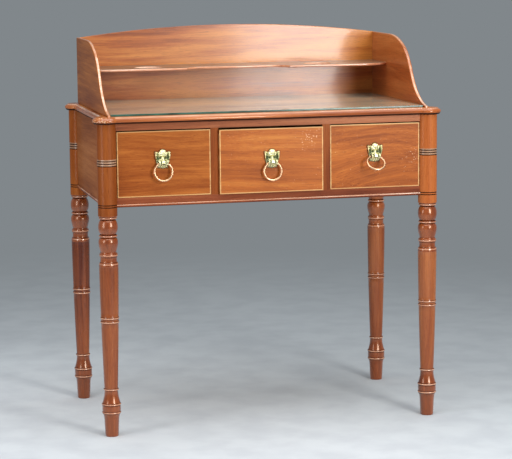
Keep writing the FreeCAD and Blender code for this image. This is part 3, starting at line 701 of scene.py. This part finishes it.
def spun(name, outline, axis, finishes):
    """Spin an outline of (height, radius) in millimetres about an upright axis. finishes holds
    (low, high, number of the material) for the heights that don't take material 0."""
    vertices = [Vector((axis.x, axis.y, outline[0][0] * mm))]
    for z, radius in outline:
        for step in range(turning_steps):
            angle = 2 * math.pi * step / turning_steps
            vertices.append(Vector((axis.x + radius * mm * math.cos(angle),
                                    axis.y + radius * mm * math.sin(angle), z * mm)))
    vertices.append(Vector((axis.x, axis.y, outline[-1][0] * mm)))
    faces = []
    numbers = []
    for row in range(len(outline) - 1):
        z = (outline[row][0] + outline[row + 1][0]) / 2
        matches = [number for low, high, number in finishes if low < z < high]
        for step in range(turning_steps):
            a = 1 + row * turning_steps + step
            b = 1 + row * turning_steps + (step + 1) % turning_steps
            faces.append((a, b, b + turning_steps, a + turning_steps))
            numbers.append(matches[-1] if matches else 0)
    last = len(vertices) - 1
    for step in range(turning_steps):
        after = (step + 1) % turning_steps
        faces.append((0, 1 + after, 1 + step))
        faces.append((last, last - turning_steps + step, last - turning_steps + after))
    piece = mesh_piece(name, vertices, faces)
    for polygon, number in zip(piece.data.polygons, numbers):
        polygon.material_index = number
    return piece


# %% [markdown]
# The outline below is read from the photograph, foot first: a tapered foot under a drum between
# two rings, a hollow and a thin ring, the long shaft with its double ring, and under the case a
# neck, a ring, a vase, a ring, a ball and a last ring. The column above carries two scribed
# lines level with the bead of the case and three more at half its height. Heights from the floor
# and radii are in millimetres, as they would be on a turner's gauge stick.
# %% Draw the leg's outline
column_radius = 24.0
shaft_low, shaft_high = 122.4, 430.0
shaft_foot, shaft_head, shaft_swell = 17.0, 24.0, 1.0
groove_width, groove_depth, groove_floor = 2.5, 1.1, 0.55
column_foot, above_grooves = 556.4, 4.2
sill_grooves = (578.0, 583.4)
column_grooves = (679.8, 686.0, 692.2)
double_ring, ring_gap = ((287.6, 292.8), (297.6, 302.8)), 0.3
column_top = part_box("leg_front_left")[1][2] / mm


def shaft_radius(z):
    """The shaft's radius at height z: a taper with a slight swell."""
    share = (z - shaft_low) / (shaft_high - shaft_low)
    swell = 4 * shaft_swell * share * (1 - share)
    return shaft_foot + (shaft_head - shaft_foot) * share + swell


def shaft_run(z0, z1, steps=12):
    """Points up the plain shaft between two heights."""
    heights = [z0 + (z1 - z0) * i / steps for i in range(steps + 1)]
    return [(z, shaft_radius(z)) for z in heights]


def scribed(z):
    """A groove cut into the column at height z."""
    half = groove_width / 2
    floor = column_radius - groove_depth
    return [(z - half, column_radius), (z - half * groove_floor, floor),
            (z + half * groove_floor, floor), (z + half, column_radius)]


foot_part = (
    [(0.0, 15.8)] + taper(0.9, 16.6, 38.0, 18.4, 0.1) + flare(38.5, 18.4, 57.7, 22.4)
    + bead(58.2, 63.6, 21.6, 24.1) + [(63.9, 22.2)] + taper(64.4, 22.9, 78.4, 22.9, 0.3)
    + [(78.9, 22.2)] + bead(79.2, 84.8, 21.6, 24.3) + [(85.0, 21.8)]
    + belled(85.6, 22.4, 114.0, 17.2) + [(116.6, 17.1)] + bead(116.9, 122.1, 17.3, 19.2))
shaft_part = (
    shaft_run(shaft_low, double_ring[0][0] - ring_gap)
    + bead(*double_ring[0], 22.0, 23.5)
    + shaft_run(double_ring[0][1] + ring_gap, double_ring[1][0] - ring_gap, 2)
    + bead(*double_ring[1], 22.2, 23.5)
    + shaft_run(double_ring[1][1] + ring_gap, shaft_high)
    + quarter(431.0, 24.2, 440.4, 21.6, True))
stack_part = (
    [(440.7, 20.9)] + taper(441.2, 20.8, 453.2, 20.8, -0.35) + [(453.8, 21.5)]
    + bead(454.2, 462.8, 21.5, 23.0) + [(463.2, 20.6), (465.4, 20.4)]
    + ball(465.8, 502.2, 19.4, 24.4, 0.75)
    + [(502.6, 18.8)] + bead(503.2, 509.2, 20.4, 22.9) + [(509.5, 18.9)]
    + ball(510.0, 546.2, 18.8, 24.3) + [(546.8, 18.9), (548.0, 19.4)]
    + bead(548.4, 553.6, 20.8, 22.7) + [(553.9, 22.4)]
    + quarter(554.2, 22.6, column_foot, column_radius, False))
column_part = []
for z in sill_grooves + column_grooves:
    column_part += scribed(z)
column_part.append((column_grooves[-1] + above_grooves, column_radius))
column_part.append((column_top, column_radius))
leg_outline = foot_part + shaft_part + stack_part + column_part
print("leg outline", len(leg_outline), "points, height", round(column_top, 1), "mm")

# %% [markdown]
# A leg isn't one even colour. The crests of the rings are pale, partly rubbed and partly a painted
# highlight, every quirk and groove is dark with painted shade, and the column has faded between
# its scribed lines. Each of these is a band between two heights with a finish of its own. A later
# band in the list covers an earlier one.
# %% Turn the four legs
quirk_reach, ring_reach = 0.5, 1.0
crest_below, crest_above = 1.1, 1.3
faded_above = 5.4
quirks = (58.1, 64.0, 79.0, 85.2, 116.8, 122.2, 287.4, 292.9, 297.5, 302.9, 440.9, 453.9)
wide_quirks = ((502.3, 503.4), (509.1, 510.2), (546.0, 548.6), (553.5, 554.3))
crests = (60.9, 82.0, 119.5, 290.2, 300.2, 436.4, 458.6, 506.2, 551.0)
shaft_finish, bead_finish, shade_finish, faded_finish, lit_crest_finish = 1, 2, 3, 4, 5
leg_finishes = [(0.0, shaft_low, bead_finish), (shaft_low, shaft_high, shaft_finish),
                (shaft_high, column_foot, bead_finish)]
leg_finishes += [(low - ring_reach, high + ring_reach, bead_finish) for low, high in double_ring]
# every quirk and groove is painted dark as shade
leg_finishes += [(z - quirk_reach, z + quirk_reach, shade_finish) for z in quirks]
leg_finishes += [(low, high, shade_finish) for low, high in wide_quirks]
for z in sill_grooves + column_grooves:
    leg_finishes.append((z - groove_width / 2, z + groove_width / 2, shade_finish))
# each ring's crest band takes the pale finish that is partly rubbed wear and partly painted highlight
leg_finishes += [(z - crest_below, z + crest_above, lit_crest_finish) for z in crests]
for low, high in zip(column_grooves, column_grooves[1:] + (column_grooves[-1] + faded_above,)):
    leg_finishes.append((low + groove_width / 2, high - groove_width / 2, faded_finish))
for (row, side), axis in leg_axis.items():
    name = "leg_" + row + "_" + side
    leg = spun("turned_" + name, leg_outline, axis, leg_finishes)
    column = "column_" + (side if row == "front" else "back")
    for finish in (column, "shaft", "beads", "painted_shade", "faded", "crest"):
        leg.data.materials.append(wood[finish])
    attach(leg, "carcase")
    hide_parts(name)
print("legs", len(leg_axis), "with", len(leg_finishes), "bands of finish")


# %% [markdown]
# The top board's edge is moulded: from below, a small hollow, a proud round nosing that catches
# the light, a narrow quirk, and a soft slope up to a crisp step. The moulding follows the board's
# plan, which bulges into a round lobe over each leg. So the plan is worked out as a function of
# how far a point is set in from the outermost line, and the section is a short list of set-ins
# and heights in millimetres. Joining the plans of neighbouring entries gives the moulded edge.
# %% Mould the top board
top_low, top_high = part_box("top_board")
board_under = top_low[2] / mm
nose_beyond_x, nose_beyond_y = 15.4, 25.4
back_beyond = 7.0
lobe_radius = 33.9
lobe_steps = 40
hollow_inset, hollow_out, hollow_rise, hollow_foot = 6.2, 4.0, 3.4, 0.2
hollow_turns = (0.5, 1.0, 1.45)
nosing_bulge, nosing_half, nosing_middle, nosing_steps = 2.0, 3.8, 8.0, 12
hollow_curve = [(hollow_inset - hollow_out * math.sin(a),
                 hollow_foot + hollow_rise * (1 - math.cos(a))) for a in hollow_turns]
nosing_turns = [math.pi * i / nosing_steps for i in range(nosing_steps + 1)]
nosing_curve = [(nosing_bulge * (1 - math.sin(a)), nosing_middle - nosing_half * math.cos(a))
                for a in nosing_turns]
edge_section = (
    [(9.0, 0.0), (hollow_inset, hollow_foot)] + hollow_curve + [(2.1, 4.2)] + nosing_curve
    + [(2.6, 12.2), (3.1, 12.6), (4.4, 14.0), (5.8, 14.9), (7.0, 15.4), (7.2, 15.9), (7.4, 16.6),
       (8.2, 17.0)])


def lobe_points(sign_x, sign_y, radius, start, end):
    """Points round a lobe between two angles about its leg, mirrored by the signs."""
    points = []
    for i in range(lobe_steps + 1):
        angle = start + (end - start) * i / lobe_steps
        points.append((sign_x * (leg_x / mm + radius * math.cos(angle)),
                       sign_y * (leg_y / mm + radius * math.sin(angle))))
    return points


def top_plan(inset):
    """The top's plan, set in by inset: the front right lobe first, then anticlockwise."""
    radius = lobe_radius - inset
    front = math.acos(-math.sqrt(radius ** 2 - (nose_beyond_y - inset) ** 2) / radius)
    side = math.acos((nose_beyond_x - inset) / radius)
    rear = math.pi - math.asin(back_beyond / radius)
    points = lobe_points(1, -1, radius, front, -side)
    points += lobe_points(1, 1, radius, -side, rear)
    points += lobe_points(-1, 1, radius, rear, -side)
    points += lobe_points(-1, -1, radius, -side, front)
    return points


def lofted(name, loops, sharp_angle=40.0):
    """A closed mesh through like loops, with a flat face at each end."""
    count = len(loops[0])
    vertices = [point for loop in loops for point in loop]
    faces = [tuple(reversed(range(count)))]
    for row in range(len(loops) - 1):
        for i in range(count):
            a, b = row * count + i, row * count + (i + 1) % count
            faces.append((a, b, b + count, a + count))
    faces.append(tuple(range(len(vertices) - count, len(vertices))))
    return mesh_piece(name, vertices, faces, sharp_angle)


loops = [[Vector((x * mm, y * mm + centre_y, (board_under + z) * mm)) for x, y in top_plan(inset)]
         for inset, z in edge_section]
top = lofted("moulded_top", loops)
top_finishes = ("across", "painted_shade", "worn_and_lit_across", "nosing", "chipped_and_lit_lobe")
for finish in top_finishes:
    top.data.materials.append(wood[finish])
around = len(loops[0])
# the hollow under the nosing takes painted shade, and the upper arris a pale finish of rubbed wear
# and painted highlight
shade_below, lit_arris_above, near_lobe = 4.6, 14.4, 0.045
for row in range(len(edge_section) - 1):
    height = (edge_section[row][1] + edge_section[row + 1][1]) / 2
    finish = "nosing"
    if height < shade_below:
        finish = "painted_shade"
    elif height > lit_arris_above:
        finish = "worn_and_lit_across"
    for polygon in top.data.polygons[1 + row * around:1 + (row + 1) * around]:
        # faces near the front-left lobe take its chipped finish, which also carries a painted
        # highlight
        at_lobe = (polygon.center - lobe_chip_and_glint_spot[0]).length < near_lobe
        shown = "chipped_and_lit_lobe" if at_lobe and finish != "painted_shade" else finish
        polygon.material_index = top_finishes.index(shown)
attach(top, "carcase")
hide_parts("top_board")
print("top", len(loops), "loops of", len(loops[0]), "points")


# %% [markdown]
# The gallery's boards and the shelf are flat boards with curved outlines and softly rounded
# arrises. A flat curve object makes such a board well: it fills its outline, leaves holes
# open, and its bevel rounds both rims at once. The curve is then turned into a mesh and laid in
# its place, so that its grain is read in the same space as that of the other pieces.
# %% Helpers for boards
def arc_points(start, middle, end, steps=16):
    """Points of the arc through three points, without its first point."""
    (ax, ay), (bx, by), (cx, cy) = start, middle, end
    d = 2 * (ax * (by - cy) + bx * (cy - ay) + cx * (ay - by))
    ux = ((ax * ax + ay * ay) * (by - cy) + (bx * bx + by * by) * (cy - ay)
          + (cx * cx + cy * cy) * (ay - by)) / d
    uy = ((ax * ax + ay * ay) * (cx - bx) + (bx * bx + by * by) * (ax - cx)
          + (cx * cx + cy * cy) * (bx - ax)) / d
    radius = math.hypot(ax - ux, ay - uy)
    first, halfway, last = (math.atan2(y - uy, x - ux) for x, y in (start, middle, end))
    whole = 2 * math.pi
    sweep = (last - first) % whole
    if (halfway - first) % whole > sweep:
        sweep -= whole
    angles = [first + sweep * i / steps for i in range(1, steps + 1)]
    return [(ux + radius * math.cos(a), uy + radius * math.sin(a)) for a in angles]


board_sharp_angle = math.radians(50)


def board(name, loops, thickness, ease, directions, origin):
    """A board from closed loops of (u, v) in millimetres. directions are its u, v and thickness
    directions in the frame, and origin is where (0, 0) lies on its middle plane."""
    curve = bpy.data.curves.new(name, "CURVE")
    curve.dimensions = "2D"
    curve.fill_mode = "BOTH"
    for loop in loops:
        spline = curve.splines.new("POLY")
        spline.points.add(len(loop) - 1)
        for point, (u, v) in zip(spline.points, loop):
            point.co = (u * mm, v * mm, 0.0, 1.0)
        spline.use_cyclic_u = True
    curve.bevel_depth = ease * mm
    curve.bevel_resolution = 2
    curve.offset = -ease * mm
    curve.extrude = (thickness / 2 - ease) * mm
    holder = bpy.data.objects.new(name + "_outline", curve)
    mesh = bpy.data.meshes.new_from_object(holder)
    bpy.data.objects.remove(holder)
    bpy.data.curves.remove(curve)
    place = Matrix((directions[0], directions[1], directions[2])).transposed().to_4x4()
    mesh.transform(Matrix.Translation(origin) @ place)
    mesh.name = name
    mesh.shade_smooth()
    mesh.set_sharp_from_angle(angle=board_sharp_angle)
    piece = bpy.data.objects.new(name, mesh)
    bpy.context.scene.collection.objects.link(piece)
    return piece


x_way, y_way, z_way = Vector((1, 0, 0)), Vector((0, 1, 0)), Vector((0, 0, 1))


# %% [markdown]
# Each gallery side starts as a low tip at the front, sweeps up in a long S and levels off
# towards the back. The S is three arcs, drawn through points given as shares of its length and
# rise, so it follows the board if the board's size changes. The back board's top is one flat arc.
# %% Cut the gallery's sides and back
sweep_length_share = 0.651
sweep_shares = (((0.24, 0.155), (0.41, 0.465)), ((0.503, 0.68), (0.61, 0.83)),
                ((0.78, 0.945), (1.0, 1.0)))
tip_height = 4.0
arris, side_arris = 1.3, 2.0
edge_tilt, top_tilt = 0.2, 0.6

for side, sign in (("left", -1), ("right", 1)):
    name = "gallery_side_" + side
    low, high = (Vector(corner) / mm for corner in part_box(name))
    length = (high.y - low.y) * sweep_length_share
    rise = high.z - low.z - tip_height
    reached = (low.y, low.z + tip_height)
    outline = [(low.y, low.z), reached]
    for halfway, end in sweep_shares:
        on_sweep = [(low.y + length * u, low.z + tip_height + rise * v) for u, v in (halfway, end)]
        outline += arc_points(reached, *on_sweep)
        reached = on_sweep[1]
    outline += [(high.y, high.z), (high.y, low.z)]
    thick = high.x - low.x
    middle_x = (low.x + high.x) / 2
    piece = board("swept_" + name, [outline], thick, side_arris, (y_way, z_way, x_way),
                  Vector((middle_x * mm, 0, 0)))
    # the narrow edge faces along the S-curve take a pale finish: rubbed wear with a painted highlight
    finish_faces(piece, (wood["gallery_" + side], wood["worn_and_lit_deep"]),
                 lambda polygon: abs(polygon.normal.x) < edge_tilt)
    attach(piece, "carcase")
    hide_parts(name)

low, high = (Vector(corner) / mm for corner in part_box("gallery_back"))
side_low, side_high = (Vector(corner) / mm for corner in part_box("gallery_side_right"))
back_end = side_high.z
outline = [(low.x, low.z), (high.x, low.z), (high.x, back_end)]
outline += arc_points((high.x, back_end), (0.0, high.z), (low.x, back_end), steps=40)
gallery_back = board("arched_gallery_back", [outline], high.y - low.y, arris,
                     (x_way, z_way, y_way), Vector((0, (low.y + high.y) / 2 * mm, 0)))
# faces that look up take a pale finish: rubbed wear with a painted highlight
finish_faces(gallery_back, (wood["across"], wood["worn_and_lit_across"]),
             lambda polygon: polygon.normal.z > top_tilt)
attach(gallery_back, "carcase")
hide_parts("gallery_back")
print("gallery rise", round(high.z - low.z, 1), "mm")

# %% [markdown]
# The narrow shelf has bowed ends, two square noses and a shallow scoop between them, and a round
# hole for a beaker near each end. Its plan is drawn from its back edge forwards, and the two
# holes are loops of their own, which the filled curve leaves open.
# %% Cut the pierced shelf
low, high = (Vector(corner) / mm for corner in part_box("gallery_shelf"))
shelf_middle = -11.0
end_depth, full_depth, scoop_depth, bow_depth = 120.0, 158.0, 121.0, 128.0
end_run, scoop_half, scoop_run = 75.0, 139.0, 34.0
bend_share = 0.33
hole_radius, hole_spacing, hole_depth = 36.0, 459.0, 102.0
shelf_arris, front_tilt = 2.6, 0.8

run = high.x - end_run
bend = run + (1 - bend_share) * end_run
ends, full, deep, bow = (high.y - d for d in (end_depth, full_depth, scoop_depth, bow_depth))
bend_depth = full + (ends - full) * bend_share
curl = scoop_half - scoop_run * bend_share
curl_depth = (full + deep) / 2
scoop_end = scoop_half - scoop_run
plan = [(low.x, high.y), (low.x, ends)]
plan += arc_points((low.x, ends), (-bend, bend_depth), (-run, full))
plan.append((shelf_middle - scoop_half, full))
plan += arc_points(plan[-1], (shelf_middle - curl, curl_depth), (shelf_middle - scoop_end, deep))
plan += arc_points(plan[-1], (shelf_middle, bow), (shelf_middle + scoop_end, deep))
plan += arc_points(plan[-1], (shelf_middle + curl, curl_depth), (shelf_middle + scoop_half, full))
plan.append((run, full))
plan += arc_points((run, full), (bend, bend_depth), (high.x, ends))
plan.append((high.x, high.y))
holes = []
hole_steps = 64
for sign in (-1, 1):
    x, y = shelf_middle + sign * hole_spacing / 2, high.y - hole_depth
    angles = [2 * math.pi * i / hole_steps for i in range(hole_steps)]
    holes.append([(x + hole_radius * math.cos(a), y + hole_radius * math.sin(a)) for a in angles])
shelf = board("pierced_shelf", [plan] + holes, high.z - low.z, shelf_arris, (x_way, y_way, z_way),
              Vector((0, 0, (low.z + high.z) / 2 * mm)))
# the front edge faces take a pale finish: rubbed wear with a painted highlight
finish_faces(shelf, (wood["shelf"], wood["worn_and_lit_across"]),
             lambda polygon: abs(polygon.normal.z) < front_tilt and polygon.normal.y < 0)
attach(shelf, "carcase")
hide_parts("gallery_shelf")
print("shelf", round(high.x - low.x, 1), "by", round(high.y - low.y, 1), "mm")

# %% [markdown]
# The glass is a plain sheet with ground arrises. It is the same kind of board, but its faces
# differ in finish: the broad faces are clear, while the narrow cut edge is a dark green.
# A face belongs to the edge when its normal lies nearly level.
# %% Cut the glass
low, high = (Vector(corner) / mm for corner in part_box("glass_sheet"))
outline = [(low.x, low.y), (high.x, low.y), (high.x, high.y), (low.x, high.y)]
glass_arris, face_tilt = 0.7, 0.9
sheet = board("glass_on_top", [outline], high.z - low.z, glass_arris, (x_way, y_way, z_way),
              Vector((0, 0, (low.z + high.z) / 2 * mm)))
finish_faces(sheet, (glass, glass_edge), lambda polygon: abs(polygon.normal.z) < face_tilt)
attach(sheet, "carcase")
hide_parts("glass_sheet")
print("glass", round(high.x - low.x, 1), "by", round(high.y - low.y, 1), "mm")


# %% [markdown]
# A thin round bead runs under the front and the sides. It is a short section pushed along
# a straight line: a half round with a shadow line cut above it.
# %% Run the beads
def run_moulding(name, section, start, end, outward):
    """A straight moulding. section holds (out, up) in millimetres from the line start to end."""
    loops = []
    for point in (start, end):
        loops.append([point + outward * out * mm + z_way * rise * mm for out, rise in section])
    return lofted(name, loops)


bead_height, bead_proud, bead_into = 8.0, 2.5, 10.0
round_back, round_foot, round_height = 0.1, 0.1, 6.8
shadow_height, shadow_depth = 0.7, 0.8
bead_steps = 12
bead_section = [(-bead_into, 0.0)]
for i in range(bead_steps + 1):
    angle = math.pi * i / bead_steps
    bead_section.append((bead_proud * math.sin(angle) - round_back,
                         round_foot + round_height * (1 - math.cos(angle)) / 2))
bead_section += [(-shadow_depth, bead_height - shadow_height), (-shadow_depth, bead_height),
                 (-bead_into, bead_height)]

low, high = (Vector(corner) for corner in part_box("front_bead"))
face_y = low.y + bead_proud * mm
inside_column = 21.0 * mm
ends = [Vector((s * (leg_x - inside_column), face_y, low.z)) for s in (1, -1)]
front_bead = run_moulding("front_bead_strip", bead_section, ends[0], ends[1], -y_way)
beads = [(front_bead, "front_bead")]
lit_low, lit_high, shaded = 0.35, 0.95, -0.6


def bead_finish_of(polygon):
    """The upward curve is pale, rubbed wear with a painted highlight; the down face takes painted
    shade.
    """
    rise = polygon.normal.z
    return 1 if lit_low < rise < lit_high else 2 if rise < shaded else 0


for side, sign in (("left", -1), ("right", 1)):
    side_low, side_high = (Vector(corner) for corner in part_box("side_bead_" + side))
    face_x = (side_high.x if sign > 0 else side_low.x) - sign * bead_proud * mm
    line = [Vector((face_x, centre_y + sign * s * (leg_y - inside_column), low.z)) for s in (1, -1)]
    strip = run_moulding("side_bead_strip_" + side, bead_section, line[0], line[1], x_way * sign)
    beads.append((strip, "side_bead_" + side))
for strip, node in beads:
    finish_faces(strip, [wood[key] for key in ("rail_low", "worn_and_lit_across", "painted_shade")], bead_finish_of)
    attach(strip, "carcase")
    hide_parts(node)
print("beads", len(beads))

# %% [markdown]
# The hanging ring of each pull is a plain round wire. It is placed at its hinge, which the
# frame's joint gives, and tilted as it hangs in the photograph: two nearly straight down and the
# right one resting raised. The right one has also slipped a little round in its lug, which is a
# turn in the ring's own plane, so it still swings clear of the drawer.
# %% Bend the rings
ring_radius, wire_radius = 22.5, 2.5
ring_steps, wire_steps = 96, 20
ring_tilts = {"left": 6.0, "middle": 4.0, "right": 46.0}
ring_leans = {"left": 0.0, "middle": 0.0, "right": 10.0}
joint_by_name = {joint["name"]: joint for joint in frame["joints"]}


def hinge_place(name):
    """Where the ring of one drawer hinges, as the frame's joint gives it."""
    return Vector(joint_by_name["ring_" + name + "_hinge"]["pos_m"])


for name in drawer_names:
    lean = Matrix.Rotation(math.radians(ring_leans[name]), 3, "Y")
    tilt = Matrix.Rotation(math.radians(-ring_tilts[name]), 3, "X") @ lean
    vertices = []
    for i in range(ring_steps):
        angle = 2 * math.pi * i / ring_steps
        for j in range(wire_steps):
            around = 2 * math.pi * j / wire_steps
            reach = ring_radius + wire_radius * math.cos(around)
            point = Vector((reach * math.sin(angle), wire_radius * math.sin(around),
                            reach * math.cos(angle) - ring_radius))
            vertices.append(hinge_place(name) + tilt @ point * mm)
    faces = []
    for i in range(ring_steps):
        for j in range(wire_steps):
            a, b = i * wire_steps + j, i * wire_steps + (j + 1) % wire_steps
            after = ((i + 1) % ring_steps - i) * wire_steps
            faces.append((a, a + after, b + after, b))
    ring = mesh_piece("round_ring_" + name, vertices, faces, sharp_angle=80)
    ring.data.materials.append(ring_brass)
    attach(ring, "ring_" + name + "_body")
    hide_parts("ring_" + name)
print("rings", len(drawer_names))

# %% [markdown]
# The back plate is a lion's mask, a common ornament on such pulls. It is carved here as a
# relief: a round grid fills the plate's outline, and every point is pushed forward by a
# sum of soft bumps and hollows, which stand for brow, eyes, nose, cheeks, mane and beard. This
# reads as carving from every side, which a bump in the material would not.
# %% Draw the mask and its relief
# the outline's right half, as (x, z) in millimetres from the ring's hinge
mask_outline = ((0.0, 33.0), (6.0, 31.6), (9.4, 27.0), (11.6, 25.2), (15.0, 27.6), (19.4, 27.8),
                (21.0, 25.2), (19.6, 16.0), (17.6, 6.0), (15.6, -2.0), (14.6, -8.0), (12.4, -14.6),
                (9.0, -12.6), (6.4, -15.6), (3.4, -14.0), (0.0, -16.5))
outline_smooth, plate_height = 6, 3.0
mane_heart, mane_ring, mane_width = 8.0, 15.0, 4.0
mane_rise, mane_locks, mane_curl = 0.55, 15, 0.25
mouth_half, mouth_side, mouth_reach, mouth_height = 8.0, 2.0, 3.2, 4.6
# each bump is the (x, z) of its middle, its half width and half height, and how far it rises
bumps = (
    (0.0, 22.0, 11.0, 8.5, 6.2), (0.0, 9.0, 3.0, 4.5, 3.2), (5.0, 16.6, 3.0, 2.2, 2.0),
    (0.0, 30.0, 2.4, 2.0, 1.3), (5.4, 28.0, 2.2, 2.0, 1.3), (3.6, 22.6, 2.2, 2.2, 1.1),
    (9.0, 23.0, 2.2, 2.4, 1.2), (0.0, 13.8, 7.0, 1.6, -2.2), (6.2, 10.6, 2.6, 2.0, -2.6),
    (4.6, 4.6, 4.0, 3.4, 3.8), (0.0, 6.4, 2.6, 2.4, 3.2),
    (8.6, 3.0, 3.0, 2.6, 1.4), (17.4, 16.0, 2.2, 11.0, 4.6), (16.8, 24.8, 2.8, 2.6, 2.4),
    (13.0, 13.0, 2.0, 9.0, -2.0), (13.4, -1.0, 2.2, 5.0, 2.6), (8.4, -2.0, 3.4, 2.4, -2.2),
    (9.2, -9.6, 2.2, 3.6, 2.4), (3.4, -11.0, 2.2, 3.6, 2.6), (0.0, -5.8, 3.6, 2.2, 2.4),
)


def smooth_loop(points, steps):
    """A closed smooth line through the points, by the usual cubic between each pair."""
    line = []
    count = len(points)
    for i in range(count):
        p0, p1, p2, p3 = (points[(i + k) % count] for k in (-1, 0, 1, 2))
        for j in range(steps):
            t = j / steps
            line.append(tuple(0.5 * (2 * b + (c - a) * t + (2 * a - 5 * b + 4 * c - d) * t * t
                                     + (3 * b - a - 3 * c + d) * t ** 3)
                              for a, b, c, d in zip(p0, p1, p2, p3)))
    return line


def carved_height(x, z):
    """How far the mask stands out at (x, z) from the ring's hinge, in millimetres."""
    height = plate_height
    for bx, bz, wide, tall, rise in bumps:
        for sign in ((1, -1) if bx else (1,)):
            height += rise * math.exp(-((x - sign * bx) / wide) ** 2 - ((z - bz) / tall) ** 2)
    around = math.atan2(x, z - mane_heart)
    distance = math.hypot(x, z - mane_heart)
    mane = math.exp(-((distance - mane_ring) / mane_width) ** 2)
    height += mane_rise * mane * math.sin(mane_locks * around + mane_curl * distance)
    mouth = math.exp(-(max(abs(x) - mouth_half, 0.0) / mouth_side) ** 2 - (z / mouth_reach) ** 4)
    return height * (1 - mouth) + min(height, mouth_height) * mouth


whole_loop = mask_outline + tuple((-x, z) for x, z in reversed(mask_outline) if x > 0)
rim = smooth_loop(whole_loop, outline_smooth)
print("mask outline", len(rim), "points,", len(bumps), "bumps")

# %% [markdown]
# The grid that carries the relief is the outline itself, drawn again and again, ever smaller,
# towards the mask's heart. Its rows lie closer together near the rim, where the carving drops to
# the thin edge of the plate. The casting is closed at the back by one flat face.
# %% Carve the lion masks
mask_heart, mask_rows, first_row = (0.0, 7.0), 26, 0.35
plate_rim, rim_share, rim_power = 1.6, 0.06, 0.6
hollow, relief_range = 1.5, 7.5


def paint_relief(piece, shares):
    """Write how proud each point is, from 0 to 1, where the brass reads it."""
    relief = piece.data.color_attributes.new("relief", "FLOAT_COLOR", "POINT")
    for layer, share in zip(relief.data, shares):
        layer.color = (share, share, share, 1.0)


def lion_mask(name, place):
    """The plate with its mask, flat at the back and carved in front."""
    vertices, proud = [], []
    hx, hz = mask_heart
    for row in range(mask_rows + 1):
        share = math.sqrt((row + first_row) / (mask_rows + first_row))
        for x, z in rim:
            px, pz = hx + (x - hx) * share, hz + (z - hz) * share
            fade = min(1.0, (1 - share) / rim_share)
            height = plate_rim + (carved_height(px, pz) - plate_rim) * fade ** rim_power
            vertices.append(place + Vector((px, -height, pz)) * mm)
            proud.append(height)
    count = len(rim)
    for x, z in rim:
        vertices.append(place + Vector((x, 0.0, z)) * mm)
        proud.append(0.0)
    faces = [tuple(range(count))]
    for row in range(mask_rows + 1):
        for i in range(count):
            a, b = row * count + i, row * count + (i + 1) % count
            faces.append((a, a + count, b + count, b))
    back = (mask_rows + 1) * count
    faces.append(tuple(reversed(range(back, back + count))))
    piece = mesh_piece(name, vertices, faces, sharp_angle=70)
    paint_relief(piece, [min(1.0, max(0.0, (height - hollow) / relief_range)) for height in proud])
    return piece


print("mask grid", mask_rows + 1, "rows of", len(rim), "points")

# %% [markdown]
# The ring hangs in the lion's mouth: the upper jaw is a shell that bulges out in front of the wire
# and is open below. The ring is round, so further from its middle the wire swings on a wider arc,
# and the shell is hollowed wider there to let it pass.
# %% Cast the muzzles
muzzle_half, muzzle_room, muzzle_thick = 11.4, 0.5, 1.7
muzzle_top, lip_middle, lip_side = 112.0, -22.0, -58.0
muzzle_columns, muzzle_steps = 36, 18
nose_half, crease_out, crease_half, corner_run, droop_run = 3.6, 5.2, 1.1, 3.5, 8.0
lip_share, lip_spread, bridge_share, bridge_spread = 0.93, 0.07, 0.42, 0.22
thinnest, nose_rise, lip_rise, crease_fall = 0.5, 1.8, 0.7, 0.8
rub_all, rub_nose, rub_lip, rub_crease = 0.42, 0.5, 0.4, 0.4


def muzzle(name, hinge):
    """The upper jaw in front of the wire, with its shares of rub and tarnish."""
    loops, rub = [], []
    for column in range(muzzle_columns + 1):
        x = muzzle_half * (2 * column / muzzle_columns - 1)
        fall = math.sqrt(ring_radius ** 2 - x ** 2)
        inner = ring_radius - fall + wire_radius * ring_radius / fall + muzzle_room
        nose = math.exp(-(x / nose_half) ** 2)
        crease = math.exp(-((abs(x) - crease_out) / crease_half) ** 2)
        rolled = min(1.0, (muzzle_half - abs(x)) / corner_run) ** 0.5
        droop = math.sin(math.pi / 2 * min(1.0, abs(x) / droop_run)) ** 2
        muzzle_turn = lip_middle + (lip_side - lip_middle) * droop - muzzle_top
        outside, inside = [], []
        for step in range(muzzle_steps + 1):
            share = step / muzzle_steps
            angle = math.radians(muzzle_top + muzzle_turn * share)
            lip = math.exp(-((share - lip_share) / lip_spread) ** 2)
            bridge = math.exp(-((share - bridge_share) / bridge_spread) ** 2)
            thick = (thinnest + muzzle_thick * rolled + nose_rise * nose * bridge
                     + lip_rise * lip - crease_fall * crease)
            for reach, line in ((inner + thick, outside), (inner, inside)):
                line.append(hinge + Vector((x, -reach * math.cos(angle),
                                            reach * math.sin(angle))) * mm)
            rub.append(rub_all + rub_nose * nose * bridge + rub_lip * lip - rub_crease * crease)
        rub += [0.0] * len(inside)
        loops.append(outside + inside[::-1])
    piece = lofted(name, loops, sharp_angle=60)
    paint_relief(piece, rub)
    return piece


print("muzzle grid", muzzle_columns + 1, "by", 2 * (muzzle_steps + 1), "points")

# %% [markdown]
# Each drawer carries its own mask and muzzle, so both ride on the drawer's body and slide out with
# it, while the ring keeps a body of its own and can swing. Both are placed from the ring's
# hinge, and the flat back of the mask lies on the face of the drawer front.
# %% Set the masks on the drawers
for name in drawer_names:
    hinge = hinge_place(name)
    jaw = muzzle("muzzle_" + name, hinge)
    jaw.data.materials.append(mask_brass)
    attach(jaw, "drawer_" + name)
    front_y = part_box("drawer_front_" + name)[0][1]
    mask = lion_mask("carved_mask_" + name, Vector((hinge.x, front_y, hinge.z)))
    mask.data.materials.append(mask_brass)
    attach(mask, "drawer_" + name)
    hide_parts("lion_mask_" + name)
print("masks", len(drawer_names), "with hinges that stand out",
      round((front_y - hinge.y) / mm, 2), "mm")

# %% [markdown]
# The dressing ends here.
# %% Finish
print("dressing finished")
